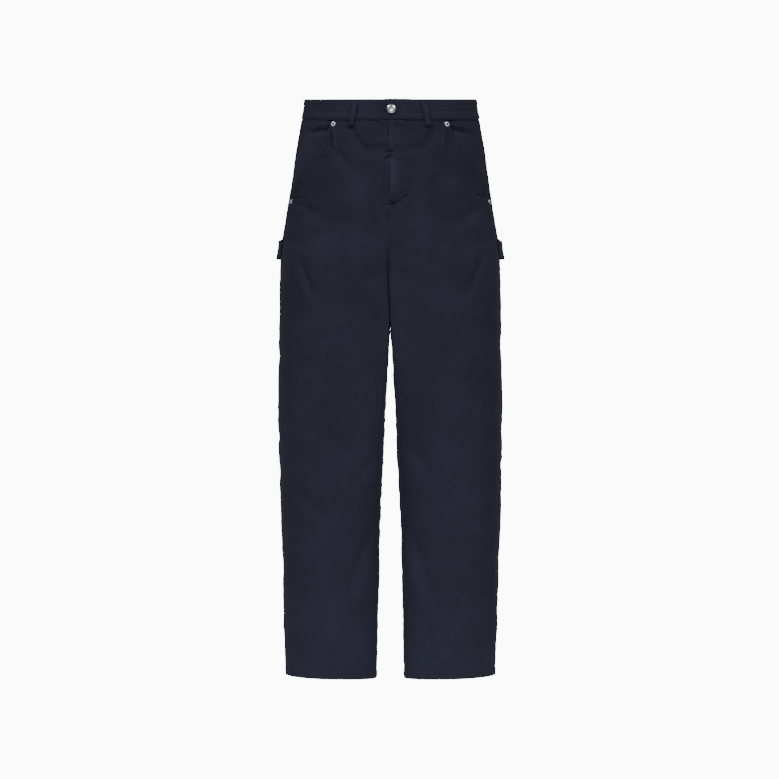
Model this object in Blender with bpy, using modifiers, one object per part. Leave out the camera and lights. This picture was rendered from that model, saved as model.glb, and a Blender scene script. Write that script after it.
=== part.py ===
"""Carpenter trousers with patch pockets, filled out as they are when worn.

Metres, +Z up. The front faces -Y and the wearer's left is +X. The origin is the centre of the waist
opening, half way up the waistband, where the wearer holds the trousers up. Every piece of cloth is a
wall that is placed on one body form: a position round the half body, a height, and a distance out.
"""

import functools
import math

import bmesh
import bpy
import numpy as np
from mathutils import Matrix, Vector

# Cloth and seams
CLOTH = 0.0014
SEAM_GAP = 0.0003
LIE_GAP = 0.0004

# Waistband
BAND_HALF = 0.019
BAND_WALL = 0.0024
BAND_PROUD = 0.0006
BAND_COLUMNS = 44
TAB_END = -0.0065
TAB_COVER = 0.026
TAB_FADE = 0.022
TAB_SHORT = 0.003

# Leg panels
HEM = -1.051
HEM_DEPTH = 0.012
HEM_PROUD = 0.0008
SIDE_FORWARD = 0.018
FRONT_SHARES = (0, 0.07, 0.15, 0.24, 0.34, 0.45, 0.55, 0.64, 0.72, 0.79, 0.85, 0.90, 0.95, 1)
BACK_SHARES = (0, 0.045, 0.09, 0.14, 0.20, 0.27, 0.35, 0.44, 0.54, 0.64, 0.74, 0.83, 0.92, 1)
TORSO_HEIGHTS = (-0.044, -0.068, -0.094, -0.120, -0.145, -0.168, -0.190, -0.212)
FORK_STEPS = 7
LEG_STEPS = 21

# Fork of the body: where the centre seams leave the front and the back, and the crotch point
FORK_FRONT = -0.212
FORK_BACK = -0.180
CROTCH = -0.325
CROTCH_FORWARD = 0.010
FORK_CURVE = 0.85
INSEAM_FORWARD = 0.022
INSEAM_SETTLE = 0.12
FORK_HALF_GAP = 0.00015

# Waist tilt, hem slant and the centre front seam's shift towards the wearer's right
WAIST_TILT = 0.140
TILT_END = -0.22
HEM_SLANT = 0.024
SLANT_START = -0.90
LEG_MIDDLE = 0.110
FRONT_SHIFT = 0.0045
SHIFT_SPREAD = 0.060
SHIFT_START = -0.29
SHIFT_END = -0.40

# Fly
FLY_WIDTH = 0.036
FLY_BOTTOM = -0.178
FLY_CORNER = 0.026
FLY_WALL = 0.0012
FLY_COLUMNS = 4
FLY_ROWS = 8

# Front pockets: the mouth's curve as seen from the front, x and z
MOUTH = (
    (0.097, 0.012),
    (0.1087, -0.043),
    (0.1263, -0.081),
    (0.1523, -0.122),
    (0.1771, -0.156),
    (0.1885, -0.1655),
)
MOUTH_REACH = 0.26
HIP_FIRST_COLUMN = 5
HIP_ROWS = 8
HIP_GAP = 0.0004
HIP_RISE_START = 0.006
HIP_RISE_END = 0.020

# Back patch pockets, measured on the cloth
PATCH_CENTRE = 0.088
PATCH_TOP = -0.088
PATCH_WIDTH_TOP = 0.150
PATCH_WIDTH_LOW = 0.138
PATCH_SIDE = 0.132
PATCH_POINT = 0.160
PATCH_DEPTH = 0.10
PATCH_SPARE = 0.045
PATCH_FIRST_COLUMN = 4

# Belt loops. Columns: name, side, and place at the top and at the foot as a share of the half body's
# length, with 0 at the centre front and 1 at the centre back
LOOP_WIDTH = 0.010
LOOP_WALL = 0.0016
LOOP_FOOT = -0.031
LOOP_STAND = 0.0022
LOOPS = (
    ("belt_loop_front_left", 1, 0.157, 0.174),
    ("belt_loop_front_right", -1, 0.157, 0.174),
    ("belt_loop_back_left", 1, 0.647, 0.640),
    ("belt_loop_back_right", -1, 0.647, 0.640),
    ("belt_loop_back", 1, 1.0, 1.0),
)

# Hammer loops
HAMMER_TOP = -0.2427
HAMMER_LOW = -0.2760
HAMMER_START = -0.003
HAMMER_LENGTH = 0.098
HAMMER_WALL = 0.0015
HAMMER_STAND_TOP = 0.0086
HAMMER_STAND_LOW = 0.0104
HAMMER_STEPS = 18
HAMMER_SEWN = 0.09

# Metal trim. Columns of the rivets: name, side, x from the middle, height
RIVET_RADIUS = 0.0047
RIVET_HEIGHT = 0.0016
RIVET_EYE = 0.0013
RIVETS = (
    ("rivet_top_left", 1, 0.1040, -0.0275),
    ("rivet_top_right", -1, 0.1040, -0.0275),
    ("rivet_side_left", 1, 0.1846, -0.1735),
    ("rivet_side_right", -1, 0.1846, -0.1735),
)
BUTTON_RADIUS = 0.0085
BUTTON_HEIGHT = 0.0062
BUTTON_SHANK = 0.0030
BUTTON_ALONG = 0.006
TURN_STEPS = 20

# Sections of the half body. Widths and depths are from the middle of the body.
SECTION_COLUMNS = ("height", "half_width", "inner", "front", "back", "square_out", "square_in")
SECTIONS = (
    (0.030, 0.1588, 0.0003, 0.0840, 0.0815, 2.00, 3.2),
    (-0.019, 0.1656, 0.0003, 0.0880, 0.0890, 2.00, 3.2),
    (-0.060, 0.1722, 0.0003, 0.0905, 0.1010, 2.02, 3.2),
    (-0.100, 0.1792, 0.0003, 0.0925, 0.1115, 2.04, 3.2),
    (-0.150, 0.1870, 0.0003, 0.0940, 0.1215, 2.06, 3.2),
    (-0.205, 0.1953, 0.0003, 0.0950, 0.1265, 2.10, 3.2),
    (-0.250, 0.2010, 0.0003, 0.0958, 0.1245, 2.14, 3.2),
    (-0.290, 0.2035, 0.0003, 0.0962, 0.1155, 2.18, 3.1),
    (-0.335, 0.2043, 0.0003, 0.0960, 0.1055, 2.20, 3.0),
    (-0.400, 0.2056, 0.0004, 0.0948, 0.0960, 2.22, 2.8),
    (-0.450, 0.2066, 0.0031, 0.0932, 0.0915, 2.24, 2.6),
    (-0.500, 0.2074, 0.0060, 0.0910, 0.0880, 2.24, 2.5),
    (-0.560, 0.2081, 0.0091, 0.0878, 0.0845, 2.24, 2.4),
    (-0.630, 0.2066, 0.0125, 0.0835, 0.0810, 2.24, 2.3),
    (-0.700, 0.2050, 0.0159, 0.0788, 0.0785, 2.22, 2.3),
    (-0.780, 0.2028, 0.0196, 0.0735, 0.0770, 2.20, 2.25),
    (-0.840, 0.2009, 0.0210, 0.0700, 0.0755, 2.18, 2.2),
    (-0.910, 0.1987, 0.0229, 0.0665, 0.0735, 2.15, 2.2),
    (-0.980, 0.1965, 0.0245, 0.0640, 0.0710, 2.12, 2.15),
    (-1.070, 0.1936, 0.0268, 0.0620, 0.0675, 2.10, 2.1),
)

# Main folds, as lines seen from the front or the back. Columns: side, face, x0, z0, x1, z1, spread,
# height. Side 1 is the wearer's left, -1 the right and 0 both. x is the distance from the middle, and
# height is out of the cloth.
FOLDS = (
    (0, "front", 0.174, -0.268, 0.140, -0.350, 0.012, -0.0024),
    (1, "front", 0.158, -0.262, 0.118, -0.345, 0.013, 0.0016),
    (-1, "front", 0.162, -0.240, 0.112, -0.322, 0.014, 0.0015),
    (1, "front", 0.020, -0.262, 0.070, -0.232, 0.010, -0.0016),
    (-1, "front", 0.018, -0.250, 0.076, -0.214, 0.011, -0.0018),
    (0, "front", 0.031, -0.770, 0.076, -0.905, 0.014, -0.0026),
    (1, "front", 0.030, -0.820, 0.068, -0.950, 0.014, 0.0019),
    (-1, "front", 0.034, -0.842, 0.080, -0.960, 0.015, 0.0017),
    (1, "front", 0.060, -0.560, 0.130, -0.640, 0.022, -0.0018),
    (-1, "front", 0.052, -0.590, 0.126, -0.690, 0.024, -0.0018),
    (0, "back", 0.024, -0.286, 0.100, -0.352, 0.014, -0.0034),
    (1, "back", 0.030, -0.322, 0.112, -0.404, 0.015, 0.0026),
    (-1, "back", 0.026, -0.330, 0.096, -0.396, 0.015, 0.0028),
    (1, "back", 0.040, -0.612, 0.150, -0.640, 0.016, -0.0030),
    (1, "back", 0.050, -0.668, 0.162, -0.690, 0.017, 0.0026),
    (-1, "back", 0.036, -0.632, 0.146, -0.652, 0.016, -0.0028),
    (-1, "back", 0.060, -0.596, 0.164, -0.604, 0.017, 0.0024),
    (1, "back", 0.060, -0.880, 0.150, -0.960, 0.018, -0.0022),
    (-1, "back", 0.048, -0.860, 0.136, -0.930, 0.018, -0.0024),
)
FOLD_FACE_BLEND = 0.030

OUTLINE_STEPS = 40
NORMAL_STEP = 0.002
NAVY = (0.0194, 0.0212, 0.0356)
NICKEL = (0.62, 0.62, 0.63)


def side_name(side):
    """The wearer's side in words."""
    return "left" if side > 0 else "right"


def blend(value, start, end):
    """0 at start, 1 at end, smooth between them."""
    share = min(1.0, max(0.0, (value - start) / (end - start)))
    return share * share * (3 - 2 * share)


def slopes(heights, values):
    """The slope at each row of a table, flat at its peaks, so that the curve through it has no overshoot."""
    steps = np.diff(values, axis=0) / np.diff(heights)[:, None]
    found = np.vstack([steps[:1], np.zeros((len(values) - 2, values.shape[1])), steps[-1:]])
    before, after = steps[:-1], steps[1:]
    same_way = before * after > 0
    total = np.where(same_way, before + after, 1)
    found[1:-1] = np.where(same_way, 2 * before * after / total, 0)
    return found


TABLE = np.array(SECTIONS)[::-1]
HEIGHTS, VALUES = TABLE[:, 0], TABLE[:, 1:]
SLOPES = slopes(HEIGHTS, VALUES)


def section(height):
    """The section table at any height, by its column names."""
    row = int(np.clip(np.searchsorted(HEIGHTS, height) - 1, 0, len(HEIGHTS) - 2))
    step = HEIGHTS[row + 1] - HEIGHTS[row]
    t = (height - HEIGHTS[row]) / step
    found = (
        (1 + 2 * t) * (1 - t) ** 2 * VALUES[row]
        + t * (1 - t) ** 2 * step * SLOPES[row]
        + t * t * (3 - 2 * t) * VALUES[row + 1]
        + t * t * (t - 1) * step * SLOPES[row + 1]
    )
    return dict(zip(SECTION_COLUMNS[1:], found))


def fork_share(height, top):
    """0 where the centre seam leaves the body's face, 1 at the crotch and below."""
    return min(1.0, max(0.0, (top - height) / (top - CROTCH)))


def inner_quarter(height, top, reach, low_seam, leg_middle, inner, square):
    """From the seam to the leg's face: x and depth, and the x where the face is furthest out."""
    share = fork_share(height, top)
    if share == 0:
        return np.zeros(1), np.full(1, reach), 0.0
    middle = inner + (leg_middle - inner) * math.sin(math.pi / 2 * share)
    seam = low_seam + (reach - low_seam) * (1 - share * share) ** FORK_CURVE
    turn = 0.6 + 0.4 * blend(share, 0, 0.5)
    spread = (middle - inner) / turn
    full = (reach - seam) / (1 - (1 - turn**square) ** (1 / square))
    steps = np.linspace(1, 0, OUTLINE_STEPS)
    angles = math.asin(turn ** (square / 2)) * steps ** (square / 2)
    x = middle - spread * np.sin(angles) ** (2 / square)
    depth = reach - full * (1 - np.cos(angles) ** (2 / square))
    return x, depth, middle


def outer_quarter(middle, half_width, reach, square):
    """From the leg's face to the side: x and depth."""
    angles = np.linspace(0, math.pi / 2, OUTLINE_STEPS)[1:]
    x = middle + (half_width - middle) * np.sin(angles) ** (2 / square)
    return x, reach * np.abs(np.cos(angles)) ** (2 / square)


@functools.lru_cache(maxsize=None)
def outline(height):
    """The left half's outline at one height, from the front seam round the side to the back seam.

    It gives the points, their distance along the outline, and where the side seam is.
    """
    here = section(height)
    inner = here["inner"] if height < CROTCH else FORK_HALF_GAP
    leg_middle = (here["half_width"] + here["inner"]) / 2
    settle = blend(height, CROTCH, CROTCH - INSEAM_SETTLE)
    seam = CROTCH_FORWARD + (INSEAM_FORWARD - CROTCH_FORWARD) * settle
    halves = []
    for top, reach, low_seam in ((FORK_FRONT, here["front"], seam), (FORK_BACK, here["back"], -seam)):
        x_in, depth_in, middle = inner_quarter(
            height, top, reach, low_seam, leg_middle, inner, here["square_in"]
        )
        x_out, depth_out = outer_quarter(middle, here["half_width"], reach, here["square_out"])
        halves.append((np.concatenate([x_in, x_out]), np.concatenate([depth_in, depth_out])))
    (front_x, front_depth), (back_x, back_depth) = halves
    x = np.concatenate([front_x, back_x[-2::-1]])
    y = np.concatenate([-front_depth, back_depth[-2::-1]])
    along = np.concatenate([[0], np.cumsum(np.hypot(np.diff(x), np.diff(y)))])
    side = len(front_x)
    face = side - OUTLINE_STEPS
    side_seam = float(np.interp(-SIDE_FORWARD, y[face:side], along[face:side]))
    return np.column_stack([x, y]), along, side_seam


def half_length(height):
    """The outline's length at one height, from seam to seam."""
    return float(outline(height)[1][-1])


def flat_point(along, height):
    """The point at a distance along the outline, and the direction out there, both level."""
    points, distance, _ = outline(height)
    position = [np.interp(along, distance, points[:, axis]) for axis in (0, 1)]
    ends = np.clip([along - NORMAL_STEP, along + NORMAL_STEP], 0, distance[-1])
    tangent = [np.diff(np.interp(ends, distance, points[:, axis]))[0] for axis in (0, 1)]
    size = math.hypot(*tangent)
    return np.array(position), np.array([tangent[1] / size, -tangent[0] / size])


def lean(position, out_way, height):
    """How far the surface moves out for each metre up."""
    offsets = []
    for other in (height + NORMAL_STEP, height - NORMAL_STEP):
        points = outline(other)[0]
        nearest = points[np.argmin(((points - position) ** 2).sum(axis=1))]
        offsets.append(float((nearest - position) @ out_way))
    return (offsets[0] - offsets[1]) / (2 * NORMAL_STEP)


def fold_height(half, x, y, z):
    """How far the folds move a point of one half out of the form, with x from the middle."""
    total = 0.0
    for side, face, x0, z0, x1, z1, spread, height in FOLDS:
        facing = blend(y if face == "back" else -y, 0, FOLD_FACE_BLEND)
        if facing == 0 or side == -half:
            continue
        run = np.array([x1 - x0, z1 - z0])
        from_start = np.array([x - x0, z - z0])
        share = float(from_start @ run / (run @ run))
        across = float(from_start @ np.array([-run[1], run[0]])) / float(np.linalg.norm(run))
        ends = blend(share, -0.15, 0.35) * blend(share, 1.15, 0.65)
        total += facing * ends * height * math.exp(-((across / spread) ** 2))
    return total


def body_point(side, along, height, out=0.0):
    """A point on the body form, side 1 for the wearer's left and -1 for the right.

    along runs round the body from the front seam, first over this side and then over the other one.
    """
    mirror = side
    length = half_length(height)
    along %= 2 * length
    if along > length:
        along, mirror = 2 * length - along, -side
    position, out_way = flat_point(along, height)
    normal = Vector((*out_way, -lean(position, out_way, height)))
    tilt = WAIST_TILT * blend(height, TILT_END, 0)
    slant = HEM_SLANT * blend(height, SLANT_START, HEM)
    normal.y -= tilt * normal.z
    normal.normalize()
    point = Vector((*position, height))
    point.z += tilt * position[1] + slant * (position[0] - LEG_MIDDLE)
    point += normal * (out + fold_height(mirror, *point))
    point.x *= mirror
    shift = FRONT_SHIFT * blend(height, SHIFT_END, SHIFT_START) * blend(-point.y, 0, SHIFT_SPREAD)
    point.x -= shift * math.exp(-((point.x / SHIFT_SPREAD) ** 2))
    return point


def body_normal(side, along, height):
    """The direction out of the body form at a point."""
    inside, outside = (body_point(side, along, height, out) for out in (0, 0.001))
    return (outside - inside).normalized()


def panel_point(side, panel, share, height, out=0.0):
    """A point on a leg panel: share 0 is its edge nearer the front seam, 1 its far edge."""
    _, along, side_seam = outline(height)
    half = SEAM_GAP / 2
    start, end = (half, side_seam - half) if panel == "front" else (side_seam + half, along[-1] - half)
    return body_point(side, start + share * (end - start), height, out)


def panel_heights():
    """The rows of every leg panel, closer together at the fork and at the hem."""
    fork_turn = np.linspace(0, math.pi / 2, FORK_STEPS + 1)[1:]
    fork = TORSO_HEIGHTS[-1] + (CROTCH - TORSO_HEIGHTS[-1]) * np.sin(fork_turn)
    hem_top = HEM + HEM_DEPTH
    leg = np.linspace(CROTCH, hem_top + 0.001, LEG_STEPS + 1)[1:]
    top = -BAND_HALF - SEAM_GAP
    return [top, *TORSO_HEIGHTS, *map(float, fork), *map(float, leg), hem_top, HEM]


def finish_material(name, colour, roughness, metallic):
    """A named finish."""
    material = bpy.data.materials.new(name)
    material.use_nodes = True
    shader = material.node_tree.nodes["Principled BSDF"]
    shader.inputs["Base Color"].default_value = (*colour, 1)
    shader.inputs["Roughness"].default_value = roughness
    shader.inputs["Metallic"].default_value = metallic
    return material


def new_collection(name):
    collection = bpy.data.collections.new(name)
    bpy.context.scene.collection.children.link(collection)
    return collection


def add_object(name, mesh, collection, material=None):
    piece = bpy.data.objects.new(name, mesh)
    collection.objects.link(piece)
    if material:
        mesh.materials.append(material)
    return piece


def cloth_wall(name, outer, inner, collection, material):
    """A closed wall between two grids of points that match, as rows of points."""
    shape = bmesh.new()
    rows, columns = len(outer), len(outer[0])
    out_verts, in_verts = ([[shape.verts.new(p) for p in row] for row in grid] for grid in (outer, inner))

    def two_triangles(a, b, c, d):
        shape.faces.new((a, b, c))
        shape.faces.new((a, c, d))

    for r in range(rows - 1):
        for c in range(columns - 1):
            for v in (out_verts, in_verts):
                two_triangles(v[r][c], v[r + 1][c], v[r + 1][c + 1], v[r][c + 1])
    for r in range(rows - 1):
        for c in (0, columns - 1):
            two_triangles(out_verts[r][c], out_verts[r + 1][c], in_verts[r + 1][c], in_verts[r][c])
    for c in range(columns - 1):
        for r in (0, rows - 1):
            two_triangles(out_verts[r][c], out_verts[r][c + 1], in_verts[r][c + 1], in_verts[r][c])
    bmesh.ops.recalc_face_normals(shape, faces=shape.faces)
    mesh = bpy.data.meshes.new(name)
    shape.to_mesh(mesh)
    shape.free()
    mesh.shade_smooth()
    return add_object(name, mesh, collection, material)


def prism(name, outline_xz, y_from, y_to, collection):
    """A cutter: an outline seen from the front, filled and drawn out along Y."""
    curve = bpy.data.curves.new(name, "CURVE")
    curve.dimensions = "2D"
    curve.fill_mode = "BOTH"
    curve.extrude = (y_to - y_from) / 2
    spline = curve.splines.new("POLY")
    spline.points.add(len(outline_xz) - 1)
    spline.use_cyclic_u = True
    for point, (x, z) in zip(spline.points, outline_xz):
        point.co = (x, z, 0, 1)
    drawn = bpy.data.objects.new(name, curve)
    middle = Matrix.Translation((0, (y_from + y_to) / 2, 0))
    drawn.matrix_world = middle @ Matrix.Rotation(math.pi / 2, 4, "X")
    collection.objects.link(drawn)
    bpy.context.view_layer.update()
    evaluated = drawn.evaluated_get(bpy.context.evaluated_depsgraph_get())
    mesh = bpy.data.meshes.new_from_object(evaluated)
    shape = bmesh.new()
    shape.from_mesh(mesh)
    bmesh.ops.remove_doubles(shape, verts=shape.verts, dist=1e-6)
    bmesh.ops.recalc_face_normals(shape, faces=shape.faces)
    shape.to_mesh(mesh)
    shape.free()
    place = drawn.matrix_world.copy()
    bpy.data.objects.remove(drawn)
    cutter = add_object(name, mesh, collection)
    cutter.matrix_world = place
    cutter.hide_render = True
    cutter.display_type = "WIRE"
    return cutter


def boolean(piece, cutter, operation):
    modifier = piece.modifiers.new(cutter.name, "BOOLEAN")
    modifier.operation = operation
    modifier.object = cutter


def make_panel(side, panel, shares, parts, cutters, cloth):
    """One front or back leg panel, from the waist seam to the hem."""
    heights = panel_heights()
    prouds = [HEM_PROUD if h <= HEM + HEM_DEPTH else 0 for h in heights]
    outer = [[panel_point(side, panel, u, h, out) for u in shares] for h, out in zip(heights, prouds)]
    inner = [[panel_point(side, panel, u, h, -CLOTH) for u in shares] for h in heights]
    piece = cloth_wall(f"{panel}_{side_name(side)}", outer, inner, parts, cloth)
    if panel == "front":
        curve = [(side * x, z) for x, z in MOUTH]
        corner_z = MOUTH[-1][1]
        around = [(side * MOUTH_REACH, corner_z), (side * MOUTH_REACH, MOUTH[0][1])]
        cutter = prism(f"mouth_cutter_{side}", curve + around, -0.25, 0.05, cutters)
        boolean(piece, cutter, "DIFFERENCE")
    return piece


def hip_point(side, share, height, inward):
    """A point on the hip piece: under the front panel, and level with it where the mouth shows it."""
    level = panel_point(side, "front", share, height)
    mouth = np.interp(-level.z, [-z for _, z in MOUTH], [x for x, _ in MOUTH])
    under = (CLOTH + HIP_GAP) * blend(abs(level.x) - mouth, HIP_RISE_END, HIP_RISE_START)
    return panel_point(side, "front", share, height, -under - inward)


def make_hip(side, parts, cloth):
    """The hip piece that shows in the pocket mouth and goes on under the front panel."""
    heights = panel_heights()[: HIP_ROWS + 1]
    shares = FRONT_SHARES[HIP_FIRST_COLUMN:]
    grids = [[[hip_point(side, u, h, inward) for u in shares] for h in heights] for inward in (0, CLOTH)]
    return cloth_wall(f"hip_{side_name(side)}", *grids, parts, cloth)


def make_fly(parts, cutters, cloth):
    """The fly's overlap on the left front, with its edge on the centre seam and a rounded lower corner."""
    heights = panel_heights()[: FLY_ROWS + 1]
    shares = FRONT_SHARES[: FLY_COLUMNS + 1]
    grids = [
        [[panel_point(1, "front", u, h, out) for u in shares] for h in heights]
        for out in (LIE_GAP + FLY_WALL, LIE_GAP)
    ]
    piece = cloth_wall("fly", *grids, parts, cloth)
    centre = Vector((FLY_WIDTH - FLY_CORNER, FLY_BOTTOM + FLY_CORNER))
    turn = np.linspace(0, -math.pi / 2, 7)
    corner = [(centre.x + FLY_CORNER * math.cos(a), centre.y + FLY_CORNER * math.sin(a)) for a in turn]
    edge = [(-0.03, FLY_BOTTOM), (-0.03, 0.03), (FLY_WIDTH, 0.03)]
    boolean(piece, prism("fly_cutter", edge + corner, -0.2, 0, cutters), "INTERSECT")
    return piece


def make_patch_pocket(side, parts, cutters, cloth):
    """A back patch pocket: the back panel's own points moved out, cut to a pointed outline."""
    low = PATCH_TOP - PATCH_POINT
    heights = [h for h in panel_heights() if low - PATCH_SPARE < h < PATCH_TOP + PATCH_SPARE]
    shares = BACK_SHARES[PATCH_FIRST_COLUMN:]
    grids = [
        [[panel_point(side, "back", u, h, out) for u in shares] for h in heights]
        for out in (LIE_GAP + CLOTH, LIE_GAP)
    ]
    piece = cloth_wall(f"patch_pocket_{side_name(side)}", *grids, parts, cloth)
    centre = side * PATCH_CENTRE
    half_top, half_low = PATCH_WIDTH_TOP / 2, PATCH_WIDTH_LOW / 2
    corners = (
        (-half_top, 0),
        (half_top, 0),
        (half_low, -PATCH_SIDE),
        (0, -PATCH_POINT),
        (-half_low, -PATCH_SIDE),
    )
    top = PATCH_TOP + WAIST_TILT * blend(PATCH_TOP, TILT_END, 0) * PATCH_DEPTH
    cut = [(centre + x, top + z) for x, z in corners]
    boolean(piece, prism(f"patch_cutter_{side}", cut, 0.02, 0.3, cutters), "INTERSECT")
    return piece


def make_waistband(parts, cloth):
    """One band right round the waist, with the left end lapped over the right end at the front."""
    over = BAND_WALL + LIE_GAP
    whole = 2 * half_length(0)
    lap = [TAB_END, 0, TAB_COVER / 2, TAB_COVER, TAB_COVER + TAB_FADE / 2, TAB_COVER + TAB_FADE]
    rest = list(np.linspace(TAB_COVER + TAB_FADE, whole, BAND_COLUMNS + 1)[1:])
    under_end = [whole + TAB_COVER / 2, whole + TAB_COVER - TAB_SHORT]
    turns = lap + rest + under_end
    grids = []
    for depth in (0, BAND_WALL):
        grid = []
        for height in (BAND_HALF, 0, -BAND_HALF):
            stretch = 2 * half_length(height) / whole
            lifts = [over * blend(turn, TAB_COVER + TAB_FADE, TAB_COVER) for turn in turns]
            grid.append(
                [
                    body_point(1, turn * stretch, height, BAND_PROUD + lift - depth)
                    for turn, lift in zip(turns, lifts)
                ]
            )
        grids.append(grid)
    return cloth_wall("waistband", *grids, parts, cloth)


def make_belt_loop(name, side, top, bottom, parts, cloth):
    """A strip sewn down above and below the waistband's face, standing off it between."""
    lie = BAND_PROUD + LIE_GAP
    foot_lie = LIE_GAP
    path = (
        (BAND_HALF, lie),
        (BAND_HALF - 0.005, lie),
        (BAND_HALF - 0.012, lie + LOOP_STAND * 0.8),
        (0, lie + LOOP_STAND),
        (-BAND_HALF + 0.008, lie + LOOP_STAND * 0.7),
        (-BAND_HALF - 0.004, lie),
        (LOOP_FOOT + 0.004, foot_lie),
        (LOOP_FOOT, foot_lie),
    )
    grids = []
    for wall in (LOOP_WALL, 0):
        grid = []
        for height, out in path:
            share = (BAND_HALF - height) / (BAND_HALF - LOOP_FOOT)
            middle = (top + (bottom - top) * share) * half_length(height)
            half = LOOP_WIDTH / 2
            grid.append([body_point(side, middle + step, height, out + wall) for step in (-half, 0, half)])
        grids.append(grid)
    return cloth_wall(name, *grids, parts, cloth)


def make_hammer_loop(side, parts, cloth):
    """A wide strip round the outside of the thigh, sewn at both ends and slack between them."""
    grids = []
    for wall in (HAMMER_WALL, 0):
        grid = []
        for row in range(3):
            drop = row / 2
            height = HAMMER_TOP + (HAMMER_LOW - HAMMER_TOP) * drop
            stand = HAMMER_STAND_TOP + (HAMMER_STAND_LOW - HAMMER_STAND_TOP) * drop
            start = outline(height)[2] + HAMMER_START
            line = []
            for step in range(HAMMER_STEPS + 1):
                share = step / HAMMER_STEPS
                slack = blend(share, HAMMER_SEWN, 0.42) * blend(share, 1 - HAMMER_SEWN, 0.58)
                out = LIE_GAP + stand * slack + wall
                line.append(body_point(side, start + HAMMER_LENGTH * share, height, out))
            grid.append(line)
        grids.append(grid)
    return cloth_wall(f"hammer_loop_{side_name(side)}", *grids, parts, cloth)


def turned(name, profile, point, normal, parts, material):
    """A turned piece: a profile of radius and height, set on a point with its axis along the normal."""
    shape = bmesh.new()
    verts = [shape.verts.new((radius, 0, height)) for radius, height in profile]
    for a, b in zip(verts, verts[1:]):
        shape.edges.new((a, b))
    mesh = bpy.data.meshes.new(name)
    shape.to_mesh(mesh)
    shape.free()
    piece = add_object(name, mesh, parts, material)
    screw = piece.modifiers.new("turn", "SCREW")
    screw.axis = "Z"
    screw.steps = screw.render_steps = TURN_STEPS
    screw.use_merge_vertices = True
    screw.merge_threshold = 0.00001
    screw.use_smooth_shade = True
    piece.matrix_world = Matrix.Translation(point) @ normal.to_track_quat("Z", "Y").to_matrix().to_4x4()
    return piece


def along_at_x(x, height):
    """The distance along the front outline where it reaches x."""
    points, along, side_seam = outline(height)
    front = along <= side_seam + 0.02
    return float(np.interp(x, points[front, 0], along[front]))


def make_rivet(name, side, x, height, parts, metal):
    """A domed rivet cap with a sunk eye, seated on the panel."""
    along = along_at_x(x, height)
    profile = (
        (0, RIVET_HEIGHT * 0.55),
        (RIVET_EYE, RIVET_HEIGHT * 0.55),
        (RIVET_EYE * 1.35, RIVET_HEIGHT * 0.95),
        (RIVET_RADIUS * 0.55, RIVET_HEIGHT),
        (RIVET_RADIUS * 0.85, RIVET_HEIGHT * 0.72),
        (RIVET_RADIUS, RIVET_HEIGHT * 0.25),
        (RIVET_RADIUS, 0),
        (0, 0),
    )
    point = body_point(side, along, height, SEAM_GAP)
    return turned(name, profile, point, body_normal(side, along, height), parts, metal)


def make_button(parts, metal):
    """A domed shank button on the waistband's lapped end."""
    profile = (
        (0, BUTTON_HEIGHT),
        (BUTTON_RADIUS * 0.45, BUTTON_HEIGHT * 0.95),
        (BUTTON_RADIUS * 0.80, BUTTON_HEIGHT * 0.78),
        (BUTTON_RADIUS, BUTTON_HEIGHT * 0.56),
        (BUTTON_RADIUS, BUTTON_HEIGHT * 0.44),
        (BUTTON_RADIUS * 0.9, BUTTON_HEIGHT * 0.34),
        (BUTTON_SHANK, BUTTON_HEIGHT * 0.30),
        (BUTTON_SHANK, 0),
        (0, 0),
    )
    face = BAND_PROUD + BAND_WALL + LIE_GAP
    point = body_point(1, BUTTON_ALONG, 0, face + SEAM_GAP)
    return turned("button", profile, point, body_normal(1, BUTTON_ALONG, 0), parts, metal)


def main():
    for old in list(bpy.data.objects):
        bpy.data.objects.remove(old)
    parts = new_collection("carpenter_trousers")
    cutters = new_collection("cutters")
    cloth = finish_material("navy_twill", NAVY, 0.85, 0)
    metal = finish_material("nickel", NICKEL, 0.25, 1)
    for side in (1, -1):
        make_panel(side, "front", FRONT_SHARES, parts, cutters, cloth)
        make_panel(side, "back", BACK_SHARES, parts, cutters, cloth)
        make_hip(side, parts, cloth)
        make_patch_pocket(side, parts, cutters, cloth)
        make_hammer_loop(side, parts, cloth)
    make_fly(parts, cutters, cloth)
    make_waistband(parts, cloth)
    for row in LOOPS:
        make_belt_loop(*row, parts, cloth)
    for row in RIVETS:
        make_rivet(*row, parts, metal)
    make_button(parts, metal)


main()
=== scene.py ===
"""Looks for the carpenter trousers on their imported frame: cloth shells, sewing, metal trim and stage.

Metres, +Z up. The front faces -Y, the wearer's left is +X and the origin is the centre of the waist.
Every sheet of cloth is placed on one body form by its distance along the half body from the front
seam, its height and its distance out.
"""

import functools
import math

import bmesh
import bpy
import numpy as np
from bpy.props import FloatProperty, FloatVectorProperty, IntProperty, PointerProperty
from mathutils import Matrix, Vector


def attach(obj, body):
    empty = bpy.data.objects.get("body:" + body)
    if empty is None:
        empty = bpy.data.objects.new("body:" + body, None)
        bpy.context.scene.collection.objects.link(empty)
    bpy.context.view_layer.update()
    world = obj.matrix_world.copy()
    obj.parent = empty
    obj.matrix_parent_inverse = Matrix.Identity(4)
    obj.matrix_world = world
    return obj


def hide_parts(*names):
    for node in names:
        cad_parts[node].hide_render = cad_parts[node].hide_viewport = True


bl_info = {
    "name": "Carpenter Trousers",
    "version": (1, 0, 0),
    "blender": (4, 5, 0),
    "location": "3D View > Sidebar > Trousers",
    "description": "Builds filled-out cotton work trousers with their sewing and metal trim",
    "category": "Add Mesh",
}

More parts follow.
